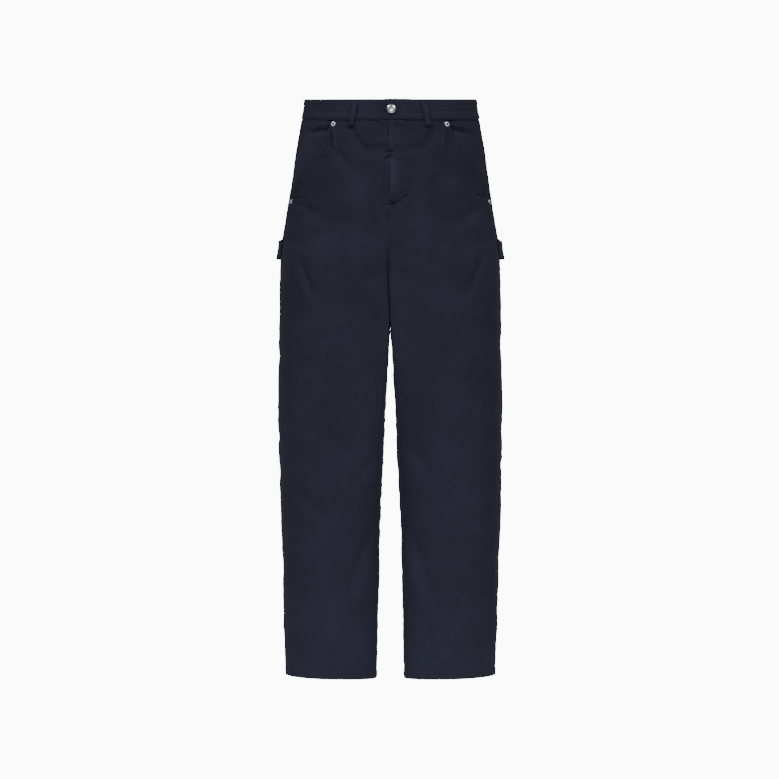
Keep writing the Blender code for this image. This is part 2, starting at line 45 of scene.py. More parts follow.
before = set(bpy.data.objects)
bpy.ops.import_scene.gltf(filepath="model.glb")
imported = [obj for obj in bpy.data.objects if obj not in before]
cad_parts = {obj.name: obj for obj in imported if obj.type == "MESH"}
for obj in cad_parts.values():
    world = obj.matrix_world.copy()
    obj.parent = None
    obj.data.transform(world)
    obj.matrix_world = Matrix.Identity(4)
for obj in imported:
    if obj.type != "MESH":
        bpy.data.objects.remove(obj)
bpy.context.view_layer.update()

# Waistband
BAND_HALF = 0.019
BAND_WALL = 0.0024
BAND_PROUD = 0.0006
TAB_END = -0.0065
TAB_COVER = 0.026
TAB_FADE = 0.022
TAB_SHORT = 0.003
TAB_RISE = 0.0023
BAND_GROOVE = 0.0007
BAND_SEWING = 0.0024
TAB_SEWING = 0.0025
# Pulls that run round the waistband. Columns: height, spread, amount, seed.
BAND_PULLS = (
    (0.0115, 0.0026, 0.0008, 33),
    (0.0062, 0.0016, -0.0011, 34),
    (0.0014, 0.0024, 0.0007, 35),
    (-0.0052, 0.0022, -0.0009, 36),
    (-0.0118, 0.0026, 0.0008, 37),
)

# Leg panels
SEAM_GAP = -0.00006
SEAM_TOP = -BAND_HALF - 0.0003
TUCK_DEPTH = 0.0030
TUCK_ROWS = (0.0090, 0.0064, 0.0048, 0.0034, 0.0021, 0.0013, 0.0009, 0.0006, 0.0003)
LIE_GAP = 0.0004
HEM = -1.051
HEM_DEPTH = 0.012
HEM_PROUD = 0.0008
HEM_SEWING = HEM_DEPTH - 0.0012
SIDE_FORWARD = 0.018
LAP_WIDTH = 0.0094
LAP_RISE = 0.0008
SEWING_ROWS = (0.0019, 0.0077)
EDGE_ROLL = 0.00040
EDGE_ROLL_WIDTH = 0.0010
PUCKER = 0.00062
PUCKER_REACH = 0.013
PUCKER_LENGTH = 0.0085

# Fork of the body, waist tilt, hem slant and the centre front seam's shift
FORK_FRONT = -0.212
FORK_BACK = -0.180
CROTCH = -0.325
CROTCH_FORWARD = 0.010
FORK_CURVE = 0.85
INSEAM_FORWARD = 0.022
INSEAM_SETTLE = 0.12
FORK_HALF_GAP = 0.00001
WAIST_TILT = 0.140
TILT_END = -0.22
HEM_SLANT = 0.024
SLANT_START = -0.90
LEG_MIDDLE = 0.110
FRONT_SHIFT = 0.0045
SHIFT_SPREAD = 0.060
SHIFT_START = -0.29
SHIFT_END = -0.44

# The inner thighs, which press together: how far forward the cloth can come, how firmly the halves meet
# at the centre seams and over what width, the heights from which they do, and where the legs part
FULLNESS = 0.055
FORK_PRESS = 0.0012
PRESS_WIDTH = 0.0015
PRESS_FRONT = -0.232
PRESS_BACK = -0.165
PARTING = -0.398

# Fly
FLY_WIDTH = 0.036
FLY_BOTTOM = -0.178
FLY_CORNER = 0.026
FLY_SUNK = 0.0011
FLY_BED = 0.0016
FLY_SEWING = (0.0022, 0.0075)

# Front pockets: the mouth's curve as seen from the front, x and z
MOUTH = (
    (0.097, 0.012),
    (0.1087, -0.043),
    (0.1263, -0.081),
    (0.1523, -0.122),
    (0.1771, -0.156),
    (0.1885, -0.1655),
)
MOUTH_TURN = 0.0007
MOUTH_GAPE = 0.0008
MOUTH_SEWING = (0.0020, 0.0085)
HIP_START = 0.45
HIP_LOW = -0.212
HIP_GAP = 0.0004
HIP_RISE_START = 0.006
HIP_RISE_END = 0.020

# Back patch pockets, as seen from behind
PATCH_CENTRE = 0.088
PATCH_TOP = -0.088
PATCH_WIDTH_TOP = 0.150
PATCH_WIDTH_LOW = 0.138
PATCH_SIDE = 0.132
PATCH_POINT = 0.160
PATCH_DEPTH = 0.10
PATCH_HEM = 0.024
PATCH_GAPE = 0.0014
PATCH_WALL = 0.0012
PATCH_HEM_SEWING = (0.0020, PATCH_HEM - 0.0020)
PATCH_EDGES = (0, 0.0005, 0.0011, 0.0018, 0.0026, 0.0038, 0.0055, 0.0070, 0.0077, 0.0085, 0.0095, 0.0110)

# Belt loops. Columns: name, side, and place at the top and at the foot as a share of the half body's
# length, with 0 at the centre front and 1 at the centre back
LOOP_WIDTH = 0.010
LOOP_WALL = 0.0016
LOOP_FOOT = -0.031
LOOP_STAND = 0.0022
LOOPS = (
    ("belt_loop_front_left", 1, 0.157, 0.174),
    ("belt_loop_front_right", -1, 0.157, 0.174),
    ("belt_loop_back_left", 1, 0.647, 0.640),
    ("belt_loop_back_right", -1, 0.647, 0.640),
    ("belt_loop_back", 1, 1.0, 1.0),
)

# Hammer loops
HAMMER_TOP = -0.2427
HAMMER_LOW = -0.2760
HAMMER_START = -0.003
HAMMER_LENGTH = 0.098
HAMMER_WALL = 0.0015
HAMMER_STAND_TOP = 0.0086
HAMMER_STAND_LOW = 0.0104
HAMMER_SEWN = 0.09
HAMMER_SEWING = 0.0026
HAMMER_TACKS = (0.022, 0.080, 0.920, 0.978)

# Metal trim. Columns of the rivets: name, side, x from the middle, height
RIVET_RADIUS = 0.0047
RIVET_HEIGHT = 0.0016
# The eye's radius, inside which the metal gets painted shade
RIVET_EYE = RIVET_RADIUS * 0.40
# From the eye out over the ring to the foot, as shares of the radius and the height
RIVET_PROFILE = (
    (0, 0.10), (0.12, 0.08), (0.28, 0.08), (0.36, 0.14), (0.39, 0.60), (0.43, 0.92), (0.50, 1.02),
    (0.68, 1), (0.84, 0.82), (0.96, 0.5), (1, 0.2), (0.99, 0), (0, 0),
)
RIVETS = (
    ("rivet_top_left", 1, 0.1040, -0.0275),
    ("rivet_top_right", -1, 0.1040, -0.0275),
    ("rivet_side_left", 1, 0.1846, -0.1735),
    ("rivet_side_right", -1, 0.1846, -0.1735),
)
BUTTON_RADIUS = 0.0085
BUTTON_HEIGHT = 0.0062
BUTTON_SHANK = 0.0030
BUTTON_ALONG = 0.006
# From below the crown round the rim to the shank, as shares of the radius and the height
BUTTON_RIM = ((0.975, 0.68), (0.99, 0.65), (1, 0.60), (0.99, 0.5), (0.93, 0.40), (0.80, 0.36))
TURN_STEPS = 48

# Sections of the half body. Widths and depths are from the middle of the body.
SECTION_COLUMNS = ("height", "half_width", "inner", "front", "back", "square_out", "square_in")
SECTIONS = (
    (0.03, 0.1588, 0.0003, 0.084, 0.0815, 2.0, 3.2),
    (-0.019, 0.1656, 0.0003, 0.088, 0.089, 2.0, 3.2),
    (-0.06, 0.1722, 0.0003, 0.0905, 0.101, 2.02, 3.2),
    (-0.1, 0.1792, 0.0003, 0.0925, 0.1115, 2.04, 3.2),
    (-0.15, 0.187, 0.0003, 0.094, 0.1215, 2.06, 3.2),
    (-0.205, 0.1953, 0.0003, 0.095, 0.1265, 2.1, 3.2),
    (-0.25, 0.201, 0.0003, 0.0958, 0.1245, 2.14, 3.2),
    (-0.29, 0.2035, 0.0003, 0.0962, 0.1155, 2.18, 3.1),
    (-0.335, 0.2043, 0.0003, 0.096, 0.1055, 2.2, 3.0),
    (-0.4, 0.2056, 0.0004, 0.0948, 0.096, 2.22, 2.8),
    (-0.45, 0.2066, 0.0031, 0.0932, 0.0915, 2.24, 2.6),
    (-0.5, 0.2074, 0.006, 0.091, 0.088, 2.24, 2.5),
    (-0.56, 0.2081, 0.0091, 0.0878, 0.0845, 2.24, 2.4),
    (-0.63, 0.2066, 0.0125, 0.0835, 0.081, 2.24, 2.3),
    (-0.7, 0.205, 0.0159, 0.0788, 0.0785, 2.22, 2.3),
    (-0.78, 0.2028, 0.0196, 0.0735, 0.077, 2.2, 2.25),
    (-0.84, 0.2009, 0.021, 0.07, 0.0755, 2.18, 2.2),
    (-0.91, 0.1987, 0.0229, 0.0665, 0.0735, 2.15, 2.2),
    (-0.98, 0.1965, 0.0245, 0.064, 0.071, 2.12, 2.15),
    (-1.07, 0.1936, 0.0268, 0.062, 0.0675, 2.1, 2.1),
)

# Main folds, as lines seen from the front or the back. Columns: side, face, x0, z0, x1, z1, spread,
# height. Side 1 is the wearer's left, -1 the right and 0 both. x is the distance from the middle, and
# height is out of the cloth.
FOLDS = (
    (0, "front", 0.174, -0.268, 0.14, -0.35, 0.012, -0.0024),
    (1, "front", 0.158, -0.262, 0.118, -0.345, 0.013, 0.0016),
    (-1, "front", 0.162, -0.24, 0.112, -0.322, 0.014, 0.0015),
    (1, "front", 0.02, -0.262, 0.07, -0.232, 0.01, -0.0016),
    (-1, "front", 0.018, -0.25, 0.076, -0.214, 0.011, -0.0018),
    (0, "front", 0.031, -0.77, 0.076, -0.905, 0.014, -0.0026),
    (1, "front", 0.03, -0.82, 0.068, -0.95, 0.014, 0.0019),
    (-1, "front", 0.034, -0.842, 0.08, -0.96, 0.015, 0.0017),
    (1, "front", 0.06, -0.56, 0.13, -0.64, 0.022, -0.0018),
    (-1, "front", 0.052, -0.59, 0.126, -0.69, 0.024, -0.0018),
    (0, "back", 0.024, -0.286, 0.1, -0.352, 0.014, -0.0034),
    (1, "back", 0.03, -0.322, 0.112, -0.404, 0.015, 0.0026),
    (-1, "back", 0.026, -0.33, 0.096, -0.396, 0.015, 0.0028),
    (1, "back", 0.04, -0.612, 0.15, -0.64, 0.016, -0.003),
    (1, "back", 0.05, -0.668, 0.162, -0.69, 0.017, 0.0026),
    (-1, "back", 0.036, -0.632, 0.146, -0.652, 0.016, -0.0028),
    (-1, "back", 0.06, -0.596, 0.164, -0.604, 0.017, 0.0024),
    (1, "back", 0.06, -0.88, 0.15, -0.96, 0.018, -0.0022),
    (-1, "back", 0.048, -0.86, 0.136, -0.93, 0.018, -0.0024),
)
FOLD_FACE_BLEND = 0.030

# Small creases, in the same columns. Seen from the outer side, x is the distance back from the side, and
# round the fly it is the place across, which is negative on the wearer's right.
CREASES = (
    # From the top rivets, under the waistband, down the pocket mouths
    (-1, "front", 0.104, -0.036, 0.0995, -0.092, 0.0021, 0.0021),
    (1, "front", 0.103, -0.036, 0.0955, -0.084, 0.0021, 0.002),
    (-1, "front", 0.108, -0.038, 0.1275, -0.094, 0.0023, 0.0018),
    (1, "front", 0.108, -0.038, 0.1245, -0.085, 0.0023, 0.0018),
    (0, "front", 0.1065, -0.046, 0.112, -0.09, 0.003, -0.0018),
    (-1, "front", 0.098, -0.09, 0.132, -0.093, 0.0034, 0.0012),
    (0, "front", 0.142, -0.096, 0.186, -0.166, 0.0042, -0.0026),
    (0, "front", 0.154, -0.164, 0.198, -0.169, 0.002, -0.0018),
    (-1, "front", 0.166, -0.14, 0.186, -0.15, 0.0018, 0.0006),
    (1, "front", 0.16, -0.134, 0.182, -0.143, 0.0018, 0.0006),
    # Across the stomach, from one belt loop to the other
    (-1, "front", 0.078, -0.033, 0.044, -0.084, 0.008, -0.0024),
    (1, "front", 0.09, -0.038, 0.058, -0.09, 0.0085, -0.0022),
    (-1, "front", 0.064, -0.08, -0.006, -0.085, 0.0075, -0.0018),
    (1, "front", 0.072, -0.085, 0.01, -0.088, 0.008, -0.0016),
    (0, "front", 0.058, -0.102, 0.01, -0.106, 0.009, 0.0009),
    (0, "front", 0.082, -0.0455, 0.056, -0.046, 0.002, -0.001),
    (0, "front", 0.08, -0.051, 0.058, -0.052, 0.0024, 0.0006),
    (-1, "front", 0.104, -0.08, 0.072, -0.122, 0.009, -0.0024),
    (1, "front", 0.084, -0.088, 0.118, -0.148, 0.01, -0.0024),
    # The fly
    (0, "fly", -0.008, -0.09, 0.014, -0.0905, 0.0017, -0.002),
    (0, "fly", -0.009, -0.106, 0.009, -0.096, 0.0017, -0.002),
    (0, "fly", 0.002, -0.093, 0.036, -0.085, 0.0015, 0.0007),
    (0, "fly", 0.004, -0.0985, 0.036, -0.0905, 0.0014, -0.0007),
    (0, "fly", 0.006, -0.104, 0.034, -0.0965, 0.0014, 0.0006),
    (0, "fly", 0.008, -0.11, 0.033, -0.104, 0.0014, -0.0005),
    (0, "fly", 0.007, -0.096, 0.007, -0.172, 0.0095, 0.0028),
    (0, "fly", 0.002, -0.034, 0.002, -0.086, 0.0046, 0.0018),
    (0, "fly", -0.0085, -0.185, 0.015, -0.185, 0.0019, -0.0022),
    (0, "fly", 0.004, -0.1865, 0.025, -0.1785, 0.002, -0.0024),
    (0, "fly", 0.013, -0.174, 0.03, -0.166, 0.0016, 0.0004),
    (0, "fly", 0.015, -0.169, 0.032, -0.161, 0.0015, -0.0005),
    (0, "fly", 0.018, -0.164, 0.033, -0.156, 0.0015, 0.0006),
    (0, "fly", -0.005, -0.196, 0.016, -0.201, 0.0024, 0.0007),
    (0, "fly", -0.006, -0.208, 0.014, -0.213, 0.0022, -0.0006),
    (0, "fly", -0.008, -0.104, -0.008, -0.182, 0.0017, -0.0008),
    (0, "fly", -0.012, -0.224, 0.004, -0.229, 0.002, 0.0006),
    (0, "fly", -0.01, -0.236, 0.008, -0.233, 0.002, -0.0007),
    (0, "fly", -0.01, -0.247, 0.006, -0.25, 0.0022, 0.0006),
    # The fork of the front
    (-1, "front", 0.036, -0.186, 0.02, -0.246, 0.008, -0.0015),
    (1, "front", 0.034, -0.184, 0.048, -0.226, 0.007, -0.0012),
    (1, "front", 0.008, -0.292, 0.046, -0.28, 0.005, -0.0005),
    (-1, "front", 0.006, -0.282, 0.052, -0.262, 0.005, -0.0005),
    (1, "front", 0.006, -0.306, 0.058, -0.312, 0.006, -0.0006),
    (-1, "front", 0.006, -0.312, 0.05, -0.326, 0.006, -0.0006),
    (0, "front", 0.064, -0.13, 0.058, -0.31, 0.015, 0.0016),
    # The outer thighs
    (-1, "front", 0.182, -0.172, 0.128, -0.202, 0.0095, -0.0019),
    (1, "front", 0.18, -0.178, 0.132, -0.208, 0.0095, -0.0017),
    (-1, "front", 0.176, -0.208, 0.116, -0.228, 0.0085, 0.0016),
    (1, "front", 0.172, -0.216, 0.122, -0.234, 0.0085, 0.0015),
    (-1, "front", 0.188, -0.24, 0.146, -0.26, 0.008, -0.0014),
    (1, "front", 0.186, -0.244, 0.15, -0.258, 0.0075, -0.0013),
    (0, "front", 0.17, -0.28, 0.141, -0.354, 0.0054, -0.0017),
    (-1, "front", 0.17, -0.308, 0.152, -0.36, 0.005, 0.001),
    (1, "front", 0.162, -0.3, 0.146, -0.356, 0.005, 0.001),
    (1, "front", 0.08, -0.392, 0.128, -0.43, 0.012, -0.0009),
    (-1, "front", 0.07, -0.41, 0.134, -0.436, 0.012, -0.0009),
    (1, "front", 0.158, -0.466, 0.134, -0.524, 0.007, -0.0008),
    (-1, "front", 0.118, -0.464, 0.098, -0.506, 0.007, -0.0006),
    # The knees
    (1, "front", 0.109, -0.538, 0.104, -0.592, 0.006, -0.0006),
    (1, "front", 0.121, -0.54, 0.118, -0.586, 0.006, 0.0008),
    (-1, "front", 0.08, -0.522, 0.08, -0.562, 0.006, -0.0005),
    (1, "front", 0.12, -0.5, 0.18, -0.56, 0.013, 0.001),
    (-1, "front", 0.11, -0.52, 0.176, -0.59, 0.013, 0.001),
    (-1, "front", 0.136, -0.594, 0.074, -0.646, 0.016, -0.0018),
    (1, "front", 0.026, -0.606, 0.084, -0.69, 0.016, -0.0018),
    (1, "front", 0.03, -0.63, 0.06, -0.664, 0.006, -0.001),
    (-1, "front", 0.028, -0.64, 0.07, -0.7, 0.009, -0.001),
    (-1, "front", 0.176, -0.702, 0.108, -0.77, 0.012, -0.0015),
    (1, "front", 0.132, -0.722, 0.164, -0.78, 0.006, -0.0013),
    (1, "front", 0.144, -0.718, 0.172, -0.76, 0.005, 0.0008),
    # The shins
    (-1, "front", 0.028, -0.776, 0.064, -0.846, 0.006, -0.0006),
    (-1, "front", 0.054, -0.824, 0.084, -0.918, 0.007, -0.0005),
    (1, "front", 0.03, -0.776, 0.058, -0.84, 0.006, -0.0006),
    (1, "front", 0.048, -0.818, 0.078, -0.908, 0.007, -0.0005),
    (-1, "front", 0.036, -0.7, 0.024, -0.716, 0.005, -0.001),
    (1, "front", 0.034, -0.706, 0.024, -0.718, 0.005, -0.001),
    (1, "front", 0.11, -0.8, 0.166, -0.87, 0.013, -0.001),
    (-1, "front", 0.1, -0.81, 0.16, -0.88, 0.013, -0.001),
    (1, "front", 0.09, -0.93, 0.14, -1.01, 0.011, 0.0009),
    (-1, "front", 0.084, -0.95, 0.13, -1.02, 0.011, 0.0009),
    (1, "front", 0.13, -0.88, 0.184, -0.96, 0.009, -0.0009),
    (-1, "front", 0.14, -0.86, 0.186, -0.95, 0.009, -0.0009),
    # The seat
    (1, "back", 0.014, -0.268, 0.06, -0.3, 0.006, -0.002),
    (-1, "back", 0.012, -0.276, 0.066, -0.296, 0.006, -0.002),
    (1, "back", 0.02, -0.346, 0.086, -0.388, 0.007, -0.002),
    (-1, "back", 0.018, -0.352, 0.078, -0.38, 0.007, -0.002),
    (1, "back", 0.01, -0.306, 0.06, -0.334, 0.006, 0.0012),
    (-1, "back", 0.01, -0.316, 0.052, -0.338, 0.006, 0.0012),
    (0, "back", 0.008, -0.036, 0.056, -0.044, 0.007, -0.0014),
    (1, "back", 0.008, -0.06, 0.046, -0.066, 0.007, 0.001),
    (-1, "back", 0.006, -0.066, 0.048, -0.058, 0.007, 0.001),
    (1, "back", 0.108, -0.262, 0.16, -0.3, 0.012, 0.0014),
    (-1, "back", 0.1, -0.27, 0.158, -0.32, 0.012, 0.0014),
    (1, "back", 0.128, -0.3, 0.176, -0.346, 0.009, -0.0016),
    (-1, "back", 0.122, -0.312, 0.172, -0.352, 0.009, -0.0016),
    # Behind the thighs and the knees
    (1, "back", 0.05, -0.43, 0.12, -0.47, 0.012, -0.0016),
    (-1, "back", 0.06, -0.44, 0.128, -0.474, 0.012, -0.0016),
    (1, "back", 0.036, -0.588, 0.11, -0.598, 0.008, -0.002),
    (-1, "back", 0.06, -0.612, 0.14, -0.622, 0.008, -0.002),
    (1, "back", 0.06, -0.642, 0.13, -0.656, 0.007, -0.0018),
    (-1, "back", 0.04, -0.668, 0.128, -0.676, 0.008, -0.0018),
    (1, "back", 0.09, -0.624, 0.168, -0.634, 0.007, 0.0014),
    (-1, "back", 0.03, -0.64, 0.1, -0.648, 0.007, 0.0014),
    (1, "back", 0.05, -0.74, 0.12, -0.79, 0.012, -0.0018),
    (-1, "back", 0.07, -0.73, 0.14, -0.77, 0.012, -0.0018),
    (1, "back", 0.11, -0.94, 0.16, -1.02, 0.011, 0.0014),
    (-1, "back", 0.07, -0.98, 0.13, -1.03, 0.011, 0.0014),
    # Down the outer sides
    (1, "outer", -0.01, -0.3, 0.044, -0.352, 0.011, -0.0011),
    (-1, "outer", -0.004, -0.31, 0.05, -0.346, 0.011, -0.0011),
    (1, "outer", -0.03, -0.42, 0.03, -0.48, 0.013, -0.0009),
    (-1, "outer", -0.036, -0.44, 0.026, -0.486, 0.013, -0.0009),
    (1, "outer", 0.036, -0.606, -0.03, -0.59, 0.01, -0.0012),
    (-1, "outer", 0.04, -0.62, -0.022, -0.606, 0.01, -0.0012),
    (1, "outer", 0.04, -0.65, -0.034, -0.668, 0.011, -0.001),
    (-1, "outer", 0.036, -0.664, -0.036, -0.676, 0.011, -0.001),
    (1, "outer", -0.026, -0.8, 0.03, -0.88, 0.012, -0.0008),
    (-1, "outer", -0.022, -0.82, 0.026, -0.9, 0.012, -0.0008),
    (1, "outer", -0.02, -0.94, 0.026, -1.0, 0.01, 0.0007),
    (-1, "outer", -0.024, -0.93, 0.02, -1.0, 0.01, 0.0007),
)

# Painted highlights: paler lines painted along the main ridges of the front, where light catches them.
# Columns: side, x0, z0, x1, z1, spread, amount, with x across from the middle on the wearer's side.
PAINTED_RIDGE_HIGHLIGHTS = (
    (-1, 0.1045, -0.0400, 0.0995, -0.0870, 0.0026, 1.3),
    (-1, 0.1100, -0.0440, 0.1260, -0.0860, 0.0026, 1.2),
    (1, 0.1035, -0.0400, 0.0955, -0.0790, 0.0026, 1.1),
    (1, 0.1095, -0.0440, 0.1230, -0.0790, 0.0026, 1.2),
    (-1, 0.1010, -0.0760, 0.1250, -0.0800, 0.0060, 0.5),
    (1, 0.0970, -0.0700, 0.1220, -0.0720, 0.0060, 0.4),
    (1, 0.0005, -0.0400, 0.0005, -0.0750, 0.0040, 1.5),
    (1, 0.0050, -0.1080, 0.0050, -0.1600, 0.0065, 1.7),
    (1, 0.0140, -0.1100, 0.0140, -0.1540, 0.0050, 0.7),
    (-1, 0.0555, -0.1500, 0.0640, -0.3000, 0.0160, 0.5),
    (1, 0.0480, -0.1400, 0.0560, -0.2800, 0.0160, 0.4),
)

# Unevenness of the cloth. Columns: size, height, seed.
UNEVEN = ((0.110, 0.0012, 3), (0.045, 0.00060, 11), (0.019, 0.00020, 23))
UNEVEN_HIPS = 2.1

FORM_COLUMNS = 421
OUTLINE_STEPS = 90
NORMAL_STEP = 0.0015
EDGE_COLUMNS = (
    0, 0.0004, 0.0009, 0.0014, 0.0019, 0.0025, 0.0033, 0.0045, 0.0060, 0.0070,
    0.0077, 0.0084, 0.0092, 0.0098, 0.0106, 0.0120, 0.0145, 0.0175,
)
HEM_ROWS = (
    0.0190, 0.0160, 0.0142, 0.0132, 0.0126, 0.0120, 0.0114, 0.0106, 0.0095, 0.0078,
    0.0060, 0.0045, 0.0030, 0.0018, 0.0010, 0.0005, 0,
)


def side_name(side):
    """The wearer's side in words."""
    return "left" if side > 0 else "right"


def blend(value, start, end):
    """0 at start, 1 at end, smooth between them."""
    share = np.clip((value - start) / (end - start), 0.0, 1.0)
    return share * share * (3 - 2 * share)


def slopes(heights, values):
    """The slope at each row of a table, flat at its peaks."""
    steps = np.diff(values, axis=0) / np.diff(heights)[:, None]
    found = np.vstack([steps[:1], np.zeros((len(values) - 2, values.shape[1])), steps[-1:]])
    before, after = steps[:-1], steps[1:]
    same_way = before * after > 0
    total = np.where(same_way, before + after, 1)
    found[1:-1] = np.where(same_way, 2 * before * after / total, 0)
    return found


def eased(t, size, values, rates, row):
    """A smooth curve through a table, at a share t of the step that starts at a row."""
    return (
        (1 + 2 * t) * (1 - t) ** 2 * values[row]
        + t * (1 - t) ** 2 * size * rates[row]
        + t * t * (3 - 2 * t) * values[row + 1]
        + t * t * (t - 1) * size * rates[row + 1]
    )


TABLE = np.array(SECTIONS)[::-1]
HEIGHTS, VALUES = TABLE[:, 0], TABLE[:, 1:]
SLOPES = slopes(HEIGHTS, VALUES)


def section(height):
    """The section table at any height, by its column names."""
    row = int(np.clip(np.searchsorted(HEIGHTS, height) - 1, 0, len(HEIGHTS) - 2))
    step = HEIGHTS[row + 1] - HEIGHTS[row]
    found = eased((height - HEIGHTS[row]) / step, step, VALUES, SLOPES, row)
    return dict(zip(SECTION_COLUMNS[1:], found))


def inner_quarter(height, top, reach, low_seam, leg_middle, inner, square):
    """From the seam to the leg's face: x and depth, and the x where the face is furthest out."""
    share = min(1.0, max(0.0, (top - height) / (top - CROTCH)))
    if share == 0:
        return np.zeros(1), np.full(1, reach), 0.0
    middle = inner + (leg_middle - inner) * math.sin(math.pi / 2 * share)
    seam = low_seam + (reach - low_seam) * (1 - share * share) ** FORK_CURVE
    turn = 0.6 + 0.4 * blend(share, 0, 0.5)
    spread = (middle - inner) / turn
    full = (reach - seam) / (1 - (1 - turn**square) ** (1 / square))
    steps = np.linspace(1, 0, OUTLINE_STEPS)
    angles = math.asin(turn ** (square / 2)) * steps ** (square / 2)
    x = middle - spread * np.sin(angles) ** (2 / square)
    depth = reach - full * (1 - np.cos(angles) ** (2 / square))
    return x, depth, middle


def outer_quarter(middle, half_width, reach, square):
    """From the leg's face to the side: x and depth."""
    angles = np.linspace(0, math.pi / 2, OUTLINE_STEPS)[1:]
    x = middle + (half_width - middle) * np.sin(angles) ** (2 / square)
    return x, reach * np.abs(np.cos(angles)) ** (2 / square)


def outline(height):
    """The left half's outline at one height, its distance along, and where the side seam is."""
    here = section(height)
    inner = here["inner"] if height < CROTCH else FORK_HALF_GAP
    leg_middle = (here["half_width"] + here["inner"]) / 2
    settle = blend(height, CROTCH, CROTCH - INSEAM_SETTLE)
    seam = CROTCH_FORWARD + (INSEAM_FORWARD - CROTCH_FORWARD) * settle
    halves = []
    for top, reach, low_seam in ((FORK_FRONT, here["front"], seam), (FORK_BACK, here["back"], -seam)):
        x_in, depth_in, middle = inner_quarter(
            height, top, reach, low_seam, leg_middle, inner, here["square_in"]
        )
        x_out, depth_out = outer_quarter(middle, here["half_width"], reach, here["square_out"])
        halves.append((np.concatenate([x_in, x_out]), np.concatenate([depth_in, depth_out])))
    (front_x, front_depth), (back_x, back_depth) = halves
    x = np.concatenate([front_x, back_x[-2::-1]])
    y = np.concatenate([-front_depth, back_depth[-2::-1]])
    along = np.concatenate([[0], np.cumsum(np.hypot(np.diff(x), np.diff(y)))])
    side = len(front_x)
    face = side - OUTLINE_STEPS
    side_seam = float(np.interp(-SIDE_FORWARD, y[face:side], along[face:side]))
    return x, y, along, side_seam


def form_rows():
    """The heights at which the body form is worked out, closest together at the crotch."""
    return np.concatenate(
        [
            np.arange(0.030, -0.170, -0.002),
            np.arange(-0.170, -0.296, -0.001),
            np.arange(-0.296, -0.3302, -0.00025),
            np.arange(-0.332, -1.068, -0.002),
        ]
    )


def work_out_form():
    """The body form as tables: x and y by row and by equal shares of the half body's length."""
    shares = np.linspace(0, 1, FORM_COLUMNS)
    x_rows, y_rows, lengths, seams = [], [], [], []
    for height in FORM_HEIGHTS:
        x, y, along, side_seam = outline(float(height))
        x_rows.append(np.interp(shares * along[-1], along, x))
        y_rows.append(np.interp(shares * along[-1], along, y))
        lengths.append(along[-1])
        seams.append(side_seam)
    return np.array(x_rows), np.array(y_rows), np.array(lengths), np.array(seams)


FORM_HEIGHTS = form_rows()
FORM_X, FORM_Y, FORM_LENGTHS, FORM_SEAMS = work_out_form()
FORM_REACH = np.array([section(float(height))["front"] for height in FORM_HEIGHTS])


def half_length(height):
    """The half body's length round at a height."""
    return np.interp(-np.asarray(height), -FORM_HEIGHTS, FORM_LENGTHS)


def seam_along(height):
    """Where the side seam is at a height."""
    return np.interp(-np.asarray(height), -FORM_HEIGHTS, FORM_SEAMS)


def level_form(side, along, height, around=False):
    """The form's x from the middle, y, and side at places given as arrays, before any tilt.

    With around, along goes on over the other half of the body, and otherwise it stops at the seams.
    """
    along, height = np.broadcast_arrays(np.asarray(along, float), np.asarray(height, float))
    row = np.clip(np.searchsorted(-FORM_HEIGHTS, -height, side="right") - 1, 0, len(FORM_HEIGHTS) - 2)
    down = (FORM_HEIGHTS[row] - height) / (FORM_HEIGHTS[row] - FORM_HEIGHTS[row + 1])
    length = FORM_LENGTHS[row] * (1 - down) + FORM_LENGTHS[row + 1] * down
    half = np.full(along.shape, side)
    if around:
        along = along % (2 * length)
        half = np.where(along > length, -side, side)
        along = np.where(along > length, 2 * length - along, along)
    place = np.clip(along / length, 0, 1) * (FORM_COLUMNS - 1)
    column = np.minimum(place.astype(int), FORM_COLUMNS - 2)
    over = place - column
    x, y = (
        (t[row, column] * (1 - over) + t[row, column + 1] * over) * (1 - down)
        + (t[row + 1, column] * (1 - over) + t[row + 1, column + 1] * over) * down
        for t in (FORM_X, FORM_Y)
    )
    return x, y, half


def tilted(x, y, height):
    """The height in the world, with the waist's tilt and the hem's slant."""
    tilt = WAIST_TILT * blend(height, TILT_END, 0)
    slant = HEM_SLANT * blend(height, SLANT_START, HEM)
    return height + tilt * y + slant * (x - LEG_MIDDLE)


def form_point(side, along, height, around=False):
    """Points on the body form."""
    x, y, half = level_form(side, along, height, around)
    y = y - inner_fullness(x, y, height)
    z = tilted(x, y, height)
    shift = FRONT_SHIFT * blend(height, SHIFT_END, SHIFT_START) * blend(-y, 0, SHIFT_SPREAD)
    signed = x * half
    return np.stack([signed - shift * np.exp(-((signed / SHIFT_SPREAD) ** 2)), y, z], axis=-1)


def inner_fullness(x, y, height):
    """How much further forward the inner thighs press against each other than the body form."""
    near = blend(x, -0.0030, 0.0008) * blend(x, 0.070, 0.030)
    level = blend(height, -0.205, -0.245) * blend(height, -0.72, -0.46)
    behind = np.maximum(np.interp(-np.asarray(height), -FORM_HEIGHTS, FORM_REACH) + y, 0)
    full = FULLNESS * (1 + 0.4 * blend(height, -0.285, -0.315) + 2.6 * blend(height, -0.305, -0.340))
    return full * (1 - np.exp(-behind / full)) * near * level * blend(-y, 0.012, 0.045)


def form_normal(side, along, height, around=False):
    """The directions out of the body form."""
    step = NORMAL_STEP
    across = form_point(side, along + step, height, around) - form_point(side, along - step, height, around)
    up = form_point(side, along, height + step, around) - form_point(side, along, height - step, around)
    out = np.cross(across, up) * side
    return out / np.linalg.norm(out, axis=-1, keepdims=True)


